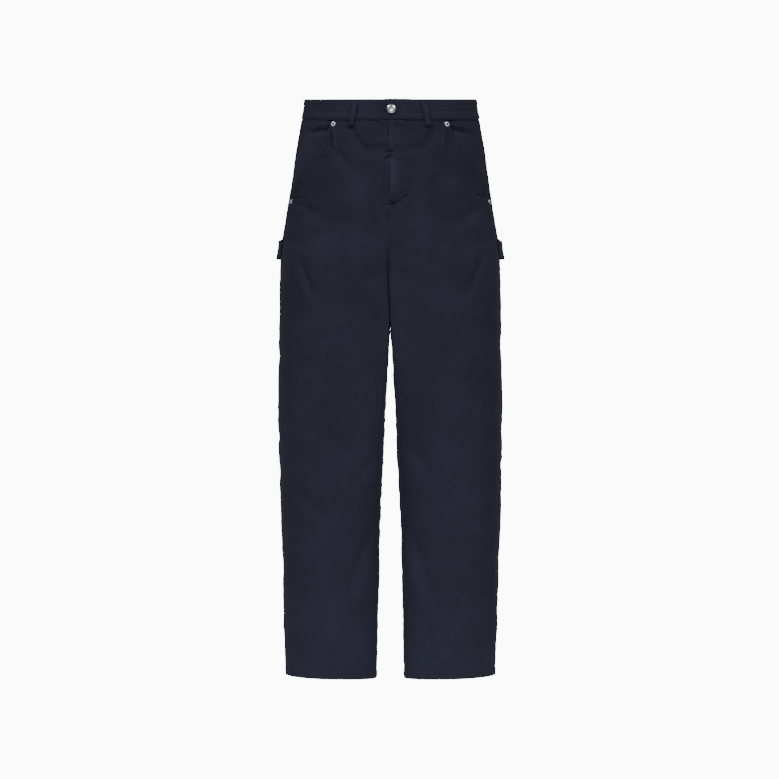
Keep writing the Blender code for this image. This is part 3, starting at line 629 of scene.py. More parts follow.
def lattice(*cells):
    """A number from -1 to 1 for each whole-numbered cell, always the same one."""
    mixed = np.zeros(cells[0].shape, np.uint64)
    for cell, factor in zip(cells, (73856093, 19349663, 83492791, 2654435761)):
        mixed ^= (cell.astype(np.int64) & 0xFFFFFFFF).astype(np.uint64) * np.uint64(factor)
    mixed &= np.uint64(0xFFFFFFFF)
    mixed = ((mixed ^ (mixed >> np.uint64(15))) * np.uint64(2246822519)) & np.uint64(0xFFFFFFFF)
    mixed ^= mixed >> np.uint64(13)
    return mixed.astype(float) / 0x7FFFFFFF - 1


def soft_noise(points, size, seed):
    """Smooth noise from about -1 to 1 at points, with bumps of a size."""
    scaled = np.asarray(points) / size
    cell = np.floor(scaled)
    share = scaled - cell
    share = share * share * (3 - 2 * share)
    total = 0.0
    for corner in range(8):
        bits = [(corner >> axis) & 1 for axis in range(3)]
        weight = 1.0
        for axis, bit in enumerate(bits):
            weight = weight * (share[..., axis] if bit else 1 - share[..., axis])
        cells = [cell[..., axis] + bit for axis, bit in enumerate(bits)]
        total = total + weight * lattice(*cells, np.full(cells[0].shape, seed))
    return total


def line_noise(along, across, size, seed):
    """Smooth noise over a strip of cloth."""
    along, across = np.broadcast_arrays(along, across)
    return soft_noise(np.stack([along, across * 0.3, np.zeros_like(along)], axis=-1), size, seed)


def fold_lift(rows, half, x, y, z, normal, by_depth):
    """How far a table of folds moves the cloth out."""
    total = np.zeros(x.shape)
    place_across = x * half
    for side, face, x0, z0, x1, z1, spread, height in rows:
        if face == "outer":
            facing, place = blend(normal[..., 0] * half, 0.45, 0.85), y
        elif face == "fly":
            facing = blend(-y, 0, FOLD_FACE_BLEND) * blend(place_across, -0.024, -0.012)
            place = place_across
        else:
            turned = y if face == "back" else -y
            facing = blend(turned, 0, FOLD_FACE_BLEND)
            if not by_depth:
                facing = facing * blend(normal[..., 1] * (1 if face == "back" else -1), 0.1, 0.45)
            place = x
        if side:
            facing = np.where(half == side, facing, 0)
        run = np.array([x1 - x0, z1 - z0])
        share = ((place - x0) * run[0] + (z - z0) * run[1]) / (run @ run)
        across = ((z - z0) * run[0] - (place - x0) * run[1]) / np.linalg.norm(run)
        ends = blend(share, -0.15, 0.35) * blend(share, 1.15, 0.65)
        total += facing * ends * height * np.exp(-((across / spread) ** 2))
    return total


def cloth_point(side, along, height, out=0.0, around=False, uneven=1.0):
    """Points of the cloth: the body form with its folds, creases and unevenness, moved out."""
    point = form_point(side, along, height, around)
    normal = form_normal(side, along, height, around)
    x, y, half = level_form(side, along, height, around)
    z = point[..., 2]
    depth = bpy.context.scene.trouser_cloth.fold_depth
    lift = fold_lift(FOLDS, half, x, y, z, normal, True)
    warp = [soft_noise(point, 0.05, seed) * 0.004 for seed in (41, 42)]
    lift = lift + depth * fold_lift(CREASES, half, x + warp[0], y + warp[0], z + warp[1], normal, False)
    hips = 1 + (UNEVEN_HIPS - 1) * blend(height, -0.30, -0.20)
    for size, amount, seed in UNEVEN:
        lift = lift + uneven * hips * amount * soft_noise(point * np.array([1, 1, 0.7]), size, seed)
    calm, touching = parting_shares(x, y, height)
    lift = lift * (1 - calm) + 0.9 * x * touching
    return point + normal * (lift + out)[..., None]


def parting_shares(x, y, height):
    """How calm the cloth is beside the legs' parting, and how far the two legs touch there."""
    start = -0.24 + 0.10 * blend(y, 0.0, 0.02)
    calm = blend(x, 0.010, 0.0005) * blend(height, -0.45, -0.42) * blend(height - start, 0.0, -0.04)
    level = blend(height, CROTCH + 0.006, CROTCH) * blend(height, PARTING - 0.006, PARTING + 0.006)
    return calm, blend(x, 0.0030, 0.0010) * level


def places(x, z, behind):
    """Places along and up for points seen from the front or from behind, as arrays."""
    x, z = np.broadcast_arrays(np.asarray(x, float), np.asarray(z, float))
    height = z.copy()
    for _ in range(6):
        low = seam_along(height) + 0.02 if behind else np.zeros(x.shape)
        high = half_length(height) if behind else seam_along(height) + 0.02
        for _ in range(24):
            middle = (low + high) / 2
            found, y, _ = level_form(1, middle, height)
            further = (found > x) == behind
            low = np.where(further, middle, low)
            high = np.where(further, high, middle)
        height = height + z - tilted(found, y, height)
    return (low + high) / 2, height


def smooth_line(points, count):
    """A curve through a few points, as many points."""
    points = np.array(points)
    steps = np.concatenate([[0], np.cumsum(np.linalg.norm(np.diff(points, axis=0), axis=1))])
    rates = slopes(steps, points)
    found = []
    for t in np.linspace(0, steps[-1], count):
        row = int(np.clip(np.searchsorted(steps, t) - 1, 0, len(steps) - 2))
        size = steps[row + 1] - steps[row]
        found.append(eased((t - steps[row]) / size, size, points, rates, row))
    return np.array(found)


MOUTH_LINE = smooth_line(MOUTH, 80)
MOUTH_ALONG, MOUTH_HEIGHT = places(MOUTH_LINE[:, 0], MOUTH_LINE[:, 1], False)
MOUTH_LOW = float(np.interp(0, MOUTH_ALONG - seam_along(MOUTH_HEIGHT), MOUTH_HEIGHT))


def front_end(height):
    """Where the front panel ends: the side seam, or the pocket's mouth above its lower end."""
    mouth = np.interp(-np.asarray(height), -MOUTH_HEIGHT, MOUTH_ALONG)
    seam = seam_along(height) - SEAM_GAP / 2
    return np.where(np.asarray(height) > MOUTH_LOW, np.minimum(mouth, seam), seam)


def roll(distance, depth=EDGE_ROLL, width=EDGE_ROLL_WIDTH):
    """An edge that turns in."""
    return -depth * np.exp(-((distance / width) ** 2))


def sewn(distance, rows=SEWING_ROWS, depth=0.00022, width=0.0009):
    """Shallow channels where rows of stitches pull the cloth in."""
    return sum(-depth * np.exp(-(((distance - row) / width) ** 2)) for row in rows)


def pucker(distance, run, seed):
    """Small puckers across a seam, dying away from it and wider on the legs."""
    reach = PUCKER_REACH * (1 + 0.9 * leg_share(run))
    size = PUCKER * (1 + 0.5 * leg_share(run))
    return size * np.exp(-np.abs(distance) / reach) * line_noise(run, distance, PUCKER_LENGTH, seed)


def fork_press(distance, height, start):
    """How the two halves press together at the centre seam, down in the fork."""
    level = blend(height, start, start - 0.020) * blend(height, CROTCH - 0.004, CROTCH)
    return FORK_PRESS * np.exp(-((distance / PRESS_WIDTH) ** 2)) * level


def lap(distance):
    """The step of a lapped seam's turnings, by the distance from the seam."""
    return LAP_RISE * blend(distance, LAP_WIDTH + 0.0008, LAP_WIDTH - 0.0006)


def hem_share(height):
    """1 on the turned hem and 0 above it."""
    return blend(height, HEM + HEM_DEPTH + 0.0010, HEM + HEM_DEPTH - 0.0002)


def hem_lift(along, height):
    """The turned hem, with the slanting ripples that a sewn hem has."""
    ripple = line_noise(along + (height - HEM) * 0.8, height * 0, 0.0065, 61)
    fade = np.exp(-np.maximum(height - HEM - HEM_DEPTH, 0) / 0.006)
    return (
        HEM_PROUD * hem_share(height)
        + 0.00030 * ripple * fade
        + roll(height - HEM, 0.0007, 0.0010)
        + sewn(height - HEM, (HEM_SEWING,))
    )


def leg_share(height):
    """0 above the crotch and 1 below it."""
    return blend(height, CROTCH + 0.010, CROTCH - 0.010)


def front_lift(side, along, height):
    """The front panel's own relief."""
    to_end = front_end(height) - along
    mouth = blend(height, MOUTH_LOW - 0.001, MOUTH_LOW + 0.004)
    open_share = blend(height, MOUTH_LOW, MOUTH_LOW + 0.06) * blend(height, -0.020, -0.055)
    lift = roll(along) + roll(to_end) + hem_lift(along, height) + top_roll(height)
    lift = lift + tab_rise(along * side, height) + fork_press(along, height, PRESS_FRONT)
    lift = lift + mouth * MOUTH_TURN * blend(to_end, 0.0112, 0.0098)
    lift = lift + mouth * sewn(to_end, MOUTH_SEWING)
    lift = lift + MOUTH_GAPE * open_share * np.exp(-((to_end / 0.022) ** 2))
    lift = lift + pucker(to_end, height, 71 + side)
    lift = lift + pucker(along, height, 75 + side) * (0.4 + 0.6 * leg_share(height))
    if side > 0:
        lift = lift - FLY_BED * blend(fly_edge(along, height), 0.0001, 0.0012)
        upper = (1 - leg_share(height)) * blend(height, FLY_BOTTOM, FLY_BOTTOM - 0.01)
        lift = lift + upper * (lap(along) + sewn(along))
    return lift


def back_lift(side, along, height):
    """The back panel's own relief, with the laps of its seams."""
    from_seam = along - seam_along(height)
    to_end = half_length(height) - along
    lift = roll(from_seam, 0.0003) + lap(from_seam) + sewn(from_seam) + roll(to_end, 0.0003)
    lift = lift + fork_press(to_end, height, PRESS_BACK)
    share = leg_share(height) if side < 0 else 1.0
    lift = lift + share * (lap(to_end) + sewn(to_end))
    lift = lift + pucker(from_seam, height, 71 + side) + pucker(to_end, height, 79 + side)
    return lift + hem_lift(along + 0.5, height) + top_roll(height)


def hip_lift(side, along, height):
    """The hip piece: under the front panel, and level with it where the mouth shows it."""
    point = form_point(side, along, height)
    mouth = np.interp(-point[..., 2], -MOUTH_LINE[:, 1], MOUTH_LINE[:, 0])
    shown = np.abs(point[..., 0]) - mouth
    to_seam = seam_along(height) - along
    level = blend(to_seam, 0.009, 0.003) * blend(height, MOUTH_LOW + 0.001, MOUTH_LOW + 0.006)
    under = (0.0014 + HIP_GAP) * blend(shown, HIP_RISE_END, HIP_RISE_START) * (1 - level)
    gaping = blend(shown, 0.050, 0.026) * blend(shown, -0.012, -0.002)
    centre = -0.0408 - 0.13 * np.clip(shown, 0, 0.020) - 0.07 * np.maximum(shown - 0.020, 0)
    above = point[..., 2] - centre
    deep = 0.0074 * gaping * (0.6 + 0.4 * blend(shown, 0.002, 0.014))
    sink = deep * blend(above, 0.0026, 0.0010) * blend(above, -0.0150, -0.0010)
    return roll(to_seam) + pucker(to_seam, height, 71 + side) - under - sink + top_roll(height)


def fly_end(height):
    """How wide the fly is at a height, with its rounded lower corner."""
    up = np.clip(height - FLY_BOTTOM, 0, FLY_CORNER)
    return FLY_WIDTH - FLY_CORNER + np.sqrt(FLY_CORNER**2 - (FLY_CORNER - up) ** 2)


def fly_edge(along, height):
    """How far a place is inside the fly's far and lower edges."""
    return np.minimum(fly_end(height) - along, height - FLY_BOTTOM)


def fly_lift(side, along, height):
    """The fly's overlap on the left front, fullest between its edge and its sewing."""
    edge = fly_edge(along, height)
    full = 0.0007 + 0.0005 * blend(edge, 0, 0.0060)
    puff = 0.0005 * blend(along, 0.0, 0.006) * blend(edge, 0.006, 0.014)
    ridge = 0.0006 * np.exp(-(((along - 0.0040) / 0.0030) ** 2))
    lift = full + puff + ridge + sewn(edge, FLY_SEWING, 0.00016) + roll(along, 0.0006, 0.0009)
    rise = tab_rise(along, height) - tab_rise(-along, height)
    small = pucker(edge, height + along, 91) * blend(edge, 0, 0.004)
    return lift + LIE_GAP - FLY_SUNK + rise + front_lift(-1, along, height) + small


def edge_columns(start, end, middle, edges=EDGE_COLUMNS):
    """Columns from start to end of each row, close together at both edges."""
    edges = np.array(edges)
    start, end = (np.asarray(v, float)[:, None] for v in (start, end))
    inner = np.linspace(0, 1, middle + 2)[1:-1]
    reach = edges[-1]
    span = end - start - 2 * reach
    return np.concatenate([start + edges, start + reach + span * inner, end - edges[::-1]], axis=1)


def top_roll(height):
    """The dip of a panel where the waistband is sewn to it."""
    return -0.0009 * np.exp(-((np.minimum(height - SEAM_TOP, 0) / 0.0019) ** 2))


def tuck(height):
    """The top of a panel, turned in at the waistband's edge and held inside the waistband above it."""
    above = height - SEAM_TOP
    return -TUCK_DEPTH * blend(above, 0.0001, 0.0011) + 0.0032 * blend(above, 0.0019, 0.0064)


def panel_rows(top, low):
    """Rows of a leg panel, close together below the waistband, at the crotch and at the hem."""
    fork = FORK_FRONT + (CROTCH - FORK_FRONT) * np.sin(np.linspace(0, math.pi / 2, 46))[1:]
    rows = np.concatenate(
        [
            top + np.array(TUCK_ROWS),
            top - np.array([0, 0.0006, 0.0013, 0.0022, 0.0035]),
            np.arange(top - 0.006, FORK_FRONT - 0.001, -0.0022),
            fork,
            np.arange(CROTCH - 0.0015, HEM + HEM_ROWS[0] + 0.002, -0.0036),
            HEM + np.array(HEM_ROWS),
        ]
    )
    return rows[rows >= low - 1e-9]


def shell_object(name, outer, inner, uv, wear_and_highlight, flipped, material):
    """A closed thin shell from two grids of points, with a map in metres and a value of wear and painted
    highlight.
    """
    rows, columns = outer.shape[:2]
    index = np.arange(rows * columns).reshape(rows, columns)
    lower = index + rows * columns

    def quads(a, b, c, d):
        return np.stack([a, b, c, d], axis=-1).reshape(-1, 4)

    faces = [
        quads(index[:-1, :-1], index[1:, :-1], index[1:, 1:], index[:-1, 1:]),
        quads(lower[:-1, 1:], lower[1:, 1:], lower[1:, :-1], lower[:-1, :-1]),
        quads(index[1:, 0], index[:-1, 0], lower[:-1, 0], lower[1:, 0]),
        quads(index[:-1, -1], index[1:, -1], lower[1:, -1], lower[:-1, -1]),
        quads(index[0, :-1], index[0, 1:], lower[0, 1:], lower[0, :-1]),
        quads(index[-1, 1:], index[-1, :-1], lower[-1, :-1], lower[-1, 1:]),
    ]
    faces = np.concatenate(faces)
    if flipped:
        faces = faces[:, ::-1]
    points = np.concatenate([outer.reshape(-1, 3), inner.reshape(-1, 3)])
    mesh = bpy.data.meshes.new(name)
    mesh.from_pydata(points.tolist(), [], faces.tolist())
    corners = np.empty(len(mesh.loops), np.int32)
    mesh.loops.foreach_get("vertex_index", corners)
    cloth_map = np.tile(uv.reshape(-1, 2), (2, 1))[corners]
    mesh.uv_layers.new(name="cloth").data.foreach_set("uv", cloth_map.ravel().astype(np.float32))
    worn_and_highlit = np.tile(np.broadcast_to(wear_and_highlight, (rows, columns)).reshape(-1), 2)
    # Stored for the shader: wear at the sewn edges and painted highlight along ridges
    mesh.attributes.new("wear_and_highlight", "FLOAT", "POINT").data.foreach_set("value", worn_and_highlit.astype(np.float32))
    mesh.shade_smooth()
    mesh.materials.append(material)
    made = bpy.data.objects.new(name, mesh)
    bpy.context.scene.collection.objects.link(made)
    return made


def place_sheet(node, outer, inner, uv, wear_and_highlight, flipped):
    """Makes a sheet and puts it on the frame in place of its solid."""
    made = shell_object(f"cloth_{node}", outer, inner, uv, wear_and_highlight, flipped, navy_twill())
    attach(made, "root")
    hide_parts(node)


def grid_wear(*distances):
    """How worn the cloth is near its sewn edges."""
    return sum(np.exp(-((d / 0.0016) ** 2)) for d in distances)


def highlight_and_wear_paling(side, points):
    """How much paler a front piece is painted along its main ridges, as painted highlight."""
    across, up = points[..., 0] * side, points[..., 2]
    total = np.zeros(across.shape)
    for row_side, x0, z0, x1, z1, spread, amount in PAINTED_RIDGE_HIGHLIGHTS:
        if row_side == side:
            run = np.array([x1 - x0, z1 - z0])
            share = np.clip(((across - x0) * run[0] + (up - z0) * run[1]) / (run @ run), 0, 1)
            away = np.hypot(across - x0 - share * run[0], up - z0 - share * run[1])
            total += amount * np.exp(-((away / spread) ** 2))
    return total


# Sewing

# Every piece's rows of stitches, by the piece's name, filled as the pieces are made
SEWING = {}
STITCH_OUT = 0.00012
TACK_OUT = 0.0003
STITCH_HALF = 0.56


def sew(piece, points):
    """Adds a row of stitches along points, as single edges, to a piece's sewing."""
    settings = bpy.context.scene.trouser_sewing
    length, gap = settings.stitch_length, settings.stitch_gap
    steps = np.concatenate([[0], np.cumsum(np.linalg.norm(np.diff(points, axis=0), axis=1))])
    starts = np.arange(gap, steps[-1] - length, length + gap)
    ends = [
        np.stack([np.interp(at, steps, points[:, axis]) for axis in range(3)], -1)
        for at in (starts, starts + length)
    ]
    SEWING.setdefault(piece, []).append(np.stack(ends, axis=1))


def bar_tack(piece, start, end, normal, width=0.0022, count=18):
    """Adds a bar tack: close stitches across the line from start to end."""
    start, end, normal = (np.asarray(v, float) for v in (start, end, normal))
    run = end - start
    across = np.cross(normal, run)
    across = across / np.linalg.norm(across) * width / 2
    shares = (np.arange(count) + 0.5)[:, None] / count
    middle = start + run * shares + normal * 0.0002
    lean = run / count * 0.5
    SEWING.setdefault(piece, []).append(np.stack([middle - across - lean, middle + across + lean], axis=1))


def sewing_object(piece, material):
    """The stitches of a piece: each edge becomes a plump thread by Geometry Nodes."""
    settings = bpy.context.scene.trouser_sewing
    edges = np.concatenate(SEWING[piece])
    mesh = bpy.data.meshes.new(f"sewing_{piece}")
    points = edges.reshape(-1, 3)
    mesh.from_pydata(points.tolist(), np.arange(len(points)).reshape(-1, 2).tolist(), [])
    made = bpy.data.objects.new(f"sewing_{piece}", mesh)
    bpy.context.scene.collection.objects.link(made)
    tree = stitch_tree()
    modifier = made.modifiers.new("stitches", "NODES")
    modifier.node_group = tree
    sockets = {s.name: s.identifier for s in tree.interface.items_tree if s.in_out == "INPUT"}
    modifier[sockets["Thread radius"]] = settings.thread_radius
    modifier[sockets["Unevenness"]] = 0.12
    modifier[sockets["Seed"]] = settings.seed
    modifier[sockets["Thread"]] = material
    made.update_tag()
    evaluated = made.evaluated_get(bpy.context.evaluated_depsgraph_get())
    plain = bpy.data.meshes.new_from_object(evaluated)
    made.modifiers.clear()
    made.data = plain
    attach(made, "root")


@functools.lru_cache(maxsize=None)
def stitch_tree():
    """A node tree that sets one plump stitch on each edge of a mesh."""
    tree = bpy.data.node_groups.new("Stitches on edges", "GeometryNodeTree")
    face = tree.interface
    face.new_socket("Geometry", in_out="INPUT", socket_type="NodeSocketGeometry")
    for name, kind in (
        ("Thread radius", "NodeSocketFloat"),
        ("Unevenness", "NodeSocketFloat"),
        ("Seed", "NodeSocketInt"),
        ("Thread", "NodeSocketMaterial"),
    ):
        face.new_socket(name, in_out="INPUT", socket_type=kind)
    face.new_socket("Geometry", in_out="OUTPUT", socket_type="NodeSocketGeometry")

    def node(kind, **values):
        made = tree.nodes.new(kind)
        for key, value in values.items():
            setattr(made, key, value)
        return made

    def link(source, target):
        tree.links.new(source, target)

    given, result = node("NodeGroupInput"), node("NodeGroupOutput")
    ends = node("GeometryNodeInputMeshEdgeVertices")
    run = node("ShaderNodeVectorMath", operation="SUBTRACT")
    link(ends.outputs["Position 2"], run.inputs[0])
    link(ends.outputs["Position 1"], run.inputs[1])
    keep = node("GeometryNodeCaptureAttribute", domain="EDGE")
    keep.capture_items.new("VECTOR", "Run")
    link(given.outputs["Geometry"], keep.inputs["Geometry"])
    link(run.outputs["Vector"], keep.inputs["Run"])
    points = node("GeometryNodeMeshToPoints", mode="EDGES")
    link(keep.outputs["Geometry"], points.inputs["Mesh"])
    ball = node("GeometryNodeMeshUVSphere")
    ball.inputs["Segments"].default_value = 5
    ball.inputs["Rings"].default_value = 4
    ball.inputs["Radius"].default_value = 1.0
    smooth = node("GeometryNodeSetShadeSmooth")
    link(ball.outputs["Mesh"], smooth.inputs["Geometry"])
    align = node("FunctionNodeAlignRotationToVector", axis="Z")
    link(keep.outputs["Run"], align.inputs["Vector"])
    length = node("ShaderNodeVectorMath", operation="LENGTH")
    link(keep.outputs["Run"], length.inputs[0])
    half = calculate(tree, "MULTIPLY", length.outputs["Value"], STITCH_HALF)
    vary = node("FunctionNodeRandomValue", data_type="FLOAT")
    link(calculate(tree, "SUBTRACT", 1.0, given.outputs["Unevenness"]), vary.inputs["Min"])
    link(calculate(tree, "ADD", 1.0, given.outputs["Unevenness"]), vary.inputs["Max"])
    link(given.outputs["Seed"], vary.inputs["Seed"])
    radius = calculate(tree, "MULTIPLY", given.outputs["Thread radius"], vary.outputs["Value"])
    size = node("ShaderNodeCombineXYZ")
    link(radius, size.inputs["X"])
    link(radius, size.inputs["Y"])
    link(half, size.inputs["Z"])
    place = node("GeometryNodeInstanceOnPoints")
    link(points.outputs["Points"], place.inputs["Points"])
    link(smooth.outputs["Geometry"], place.inputs["Instance"])
    link(align.outputs["Rotation"], place.inputs["Rotation"])
    link(size.outputs["Vector"], place.inputs["Scale"])
    real = node("GeometryNodeRealizeInstances")
    link(place.outputs["Instances"], real.inputs["Geometry"])
    paint = node("GeometryNodeSetMaterial")
    link(real.outputs["Geometry"], paint.inputs["Geometry"])
    link(given.outputs["Thread"], paint.inputs["Material"])
    link(paint.outputs["Geometry"], result.inputs["Geometry"])
    return tree


# Finishes


def new_group(name, inputs, outputs):
    """A shader node group with named inputs and outputs, each a name and a socket type."""
    tree = bpy.data.node_groups.new(name, "ShaderNodeTree")
    for socket, kind, value in inputs:
        made = tree.interface.new_socket(socket, in_out="INPUT", socket_type=kind)
        if value is not None:
            made.default_value = value
    for socket, kind in outputs:
        tree.interface.new_socket(socket, in_out="OUTPUT", socket_type=kind)
    return tree, tree.nodes.new("NodeGroupInput"), tree.nodes.new("NodeGroupOutput")


def calculate(tree, operation, *values):
    """A Math node on numbers or sockets."""
    made = tree.nodes.new("ShaderNodeMath")
    made.operation = operation
    for slot_number, value in enumerate(values):
        if isinstance(value, (int, float)):
            made.inputs[slot_number].default_value = value
        else:
            tree.links.new(value, made.inputs[slot_number])
    return made.outputs[0]


def noise(tree, vector, scale, detail=2.0, roughness=0.5):
    """A Noise node's value."""
    made = tree.nodes.new("ShaderNodeTexNoise")
    made.inputs["Scale"].default_value = scale
    made.inputs["Detail"].default_value = detail
    made.inputs["Roughness"].default_value = roughness
    tree.links.new(vector, made.inputs["Vector"])
    return made.outputs["Fac"]


@functools.lru_cache(maxsize=None)
def twill_group():
    """Steep twill ribs from a map in metres, broken where the yarns cross."""
    tree, given, result = new_group(
        "Twill weave",
        [("Vector", "NodeSocketVector", None), ("Rib spacing", "NodeSocketFloat", 0.0009)],
        [("Height", "NodeSocketFloat"), ("Rib", "NodeSocketFloat")],
    )
    split = tree.nodes.new("ShaderNodeSeparateXYZ")
    tree.links.new(given.outputs["Vector"], split.inputs[0])
    waver = noise(tree, given.outputs["Vector"], 220.0, 2.0)
    waver = calculate(tree, "MULTIPLY", calculate(tree, "SUBTRACT", waver, 0.5), 0.00035)

    def across(share, share_up):
        """The distance across a set of slanting yarns."""
        up = calculate(tree, "MULTIPLY", split.outputs["Y"], share_up)
        return calculate(tree, "ADD", calculate(tree, "MULTIPLY", split.outputs["X"], share), up)

    def wave(distance, turns, height, middle):
        """A wave over a distance, with some turns for each rib."""
        angle = calculate(tree, "MULTIPLY", distance, math.tau * turns)
        angle = calculate(tree, "DIVIDE", angle, given.outputs["Rib spacing"])
        return calculate(tree, "MULTIPLY_ADD", calculate(tree, "SINE", angle), height, middle)

    rib = wave(calculate(tree, "ADD", across(0.87, -0.50), waver), 1.0, 0.5, 0.5)
    cross = wave(across(0.45, 0.89), 1.6, 0.2, 0.8)
    height = calculate(tree, "MULTIPLY", rib, cross)
    tree.links.new(height, result.inputs["Height"])
    tree.links.new(rib, result.inputs["Rib"])
    return tree


@functools.lru_cache(maxsize=None)
def tone_group():
    """Uneven garment dye: soft clouds, slub streaks, and paler sewn edges from wear with painted ridge
    highlights, as one value.
    """
    tree, given, result = new_group(
        "Dyed cloth tone",
        [
            ("Vector", "NodeSocketVector", None),
            ("Wear and highlight", "NodeSocketFloat", 0.0),
            ("Clouds", "NodeSocketFloat", 0.5),
            ("Edges", "NodeSocketFloat", 0.4),
        ],
        [("Tone", "NodeSocketFloat")],
    )
    vector = given.outputs["Vector"]
    clouds = noise(tree, vector, 13.0, 3.0, 0.55)
    fine = noise(tree, vector, 260.0, 2.0, 0.6)
    stretch = tree.nodes.new("ShaderNodeVectorMath")
    stretch.operation = "MULTIPLY"
    stretch.inputs[1].default_value = (1.0, 1.0, 0.06)
    tree.links.new(vector, stretch.inputs[0])
    slub = noise(tree, stretch.outputs["Vector"], 420.0, 2.0, 0.6)
    soft = calculate(tree, "MULTIPLY", calculate(tree, "SUBTRACT", clouds, 0.5), given.outputs["Clouds"])
    soft = calculate(tree, "MULTIPLY_ADD", calculate(tree, "SUBTRACT", fine, 0.5), 0.16, soft)
    soft = calculate(tree, "MULTIPLY_ADD", calculate(tree, "SUBTRACT", slub, 0.5), 0.18, soft)
    patchy = noise(tree, vector, 90.0, 3.0, 0.6)
    # Paler from wear at the sewn edges and from painted highlights along the ridges
    highlight_and_wear_paling = calculate(tree, "MULTIPLY", given.outputs["Wear and highlight"], given.outputs["Edges"])
    highlight_and_wear_paling = calculate(tree, "MULTIPLY", highlight_and_wear_paling, calculate(tree, "MULTIPLY_ADD", patchy, 1.2, 0.2))
    tone = calculate(tree, "ADD", calculate(tree, "ADD", soft, 0.35), highlight_and_wear_paling)
    made = tree.nodes.new("ShaderNodeClamp")
    tree.links.new(tone, made.inputs[0])
    tree.links.new(made.outputs[0], result.inputs["Tone"])
    return tree


def new_material(name, roughness, metallic=0.0):
    """A material with its Principled shader and the finish of its own sockets."""
    material = bpy.data.materials.new(name)
    material.use_nodes = True
    shader = material.node_tree.nodes["Principled BSDF"]
    shader.inputs["Roughness"].default_value = roughness
    shader.inputs["Metallic"].default_value = metallic
    return material, material.node_tree, shader


def group_node(tree, group, **values):
    """A group placed in a material with its own values."""
    made = tree.nodes.new("ShaderNodeGroup")
    made.node_tree = group
    for name, value in values.items():
        made.inputs[name.replace("_", " ")].default_value = value
    return made


def two_tone(tree, fac, dark, light):
    """A colour between two, by a value."""
    mix = tree.nodes.new("ShaderNodeMix")
    mix.data_type = "RGBA"
    tree.links.new(fac, mix.inputs["Factor"])
    mix.inputs[6].default_value = (*dark, 1)
    mix.inputs[7].default_value = (*light, 1)
    return mix.outputs[2]


def bump(tree, height, strength, distance, before=None):
    """A Bump node, after another one where given."""
    made = tree.nodes.new("ShaderNodeBump")
    made.inputs["Strength"].default_value = strength
    made.inputs["Distance"].default_value = distance
    tree.links.new(height, made.inputs["Height"])
    if before is not None:
        tree.links.new(before, made.inputs["Normal"])
    return made.outputs["Normal"]


@functools.lru_cache(maxsize=None)
def navy_twill():
    """Garment-dyed navy cotton twill with a soft nap, painted darker at the top and lighter towards the
    hems as painted light, and with painted ridge highlights.
    """
    settings = bpy.context.scene.trouser_cloth
    material, tree, shader = new_material("navy_twill", 0.86)
    cloth_map = tree.nodes.new("ShaderNodeUVMap")
    cloth_map.uv_map = "cloth"
    place = tree.nodes.new("ShaderNodeTexCoord")
    # Attribute of wear and painted highlight
    worn_and_highlit = tree.nodes.new("ShaderNodeAttribute")
    worn_and_highlit.attribute_name = "wear_and_highlight"
    twill = group_node(tree, twill_group(), Rib_spacing=settings.rib_spacing)
    tone = group_node(tree, tone_group(), Clouds=0.70, Edges=0.30)
    tree.links.new(cloth_map.outputs["UV"], twill.inputs["Vector"])
    tree.links.new(place.outputs["Object"], tone.inputs["Vector"])
    tree.links.new(worn_and_highlit.outputs["Fac"], tone.inputs["Wear and highlight"])
    ribs = calculate(tree, "MULTIPLY_ADD", twill.outputs["Rib"], 0.14, -0.07)
    value = calculate(tree, "ADD", tone.outputs["Tone"], ribs)
    height = tree.nodes.new("ShaderNodeSeparateXYZ")
    tree.links.new(place.outputs["Object"], height.inputs[0])
    # Painted light: the cloth is painted darker above about 0.235 m below the waist and lighter below it,
    # most at the hems
    start = -0.235 * settings.painted_light_below
    lower = calculate(tree, "MULTIPLY_ADD", height.outputs["Z"], -settings.painted_light_below, start)
    value = calculate(tree, "ADD", value, lower)
    colour = two_tone(tree, value, settings.dark, settings.light)
    tree.links.new(colour, shader.inputs["Base Color"])
    weave = bump(tree, twill.outputs["Height"], 0.5, 0.00022)
    nap = noise(tree, place.outputs["Object"], 1500.0, 2.0, 0.7)
    tree.links.new(bump(tree, nap, 0.25, 0.00015, weave), shader.inputs["Normal"])
    shader.inputs["Specular IOR Level"].default_value = 0.25
    shader.inputs["Sheen Weight"].default_value = 0.10
    shader.inputs["Sheen Roughness"].default_value = 0.45
    shader.inputs["Sheen Tint"].default_value = (0.55, 0.62, 0.85, 1)
    return material


@functools.lru_cache(maxsize=None)
def navy_thread():
    """Tone-on-tone sewing thread with a faint twist."""
    settings = bpy.context.scene.trouser_sewing
    material, tree, shader = new_material("navy_thread", 0.75)
    place = tree.nodes.new("ShaderNodeTexCoord")
    fine = noise(tree, place.outputs["Object"], 900.0, 2.0, 0.6)
    colour = two_tone(tree, fine, tuple(c * 0.75 for c in settings.thread), settings.thread)
    tree.links.new(colour, shader.inputs["Base Color"])
    tree.links.new(bump(tree, fine, 0.4, 0.0001), shader.inputs["Normal"])
    shader.inputs["Specular IOR Level"].default_value = 0.25
    return material


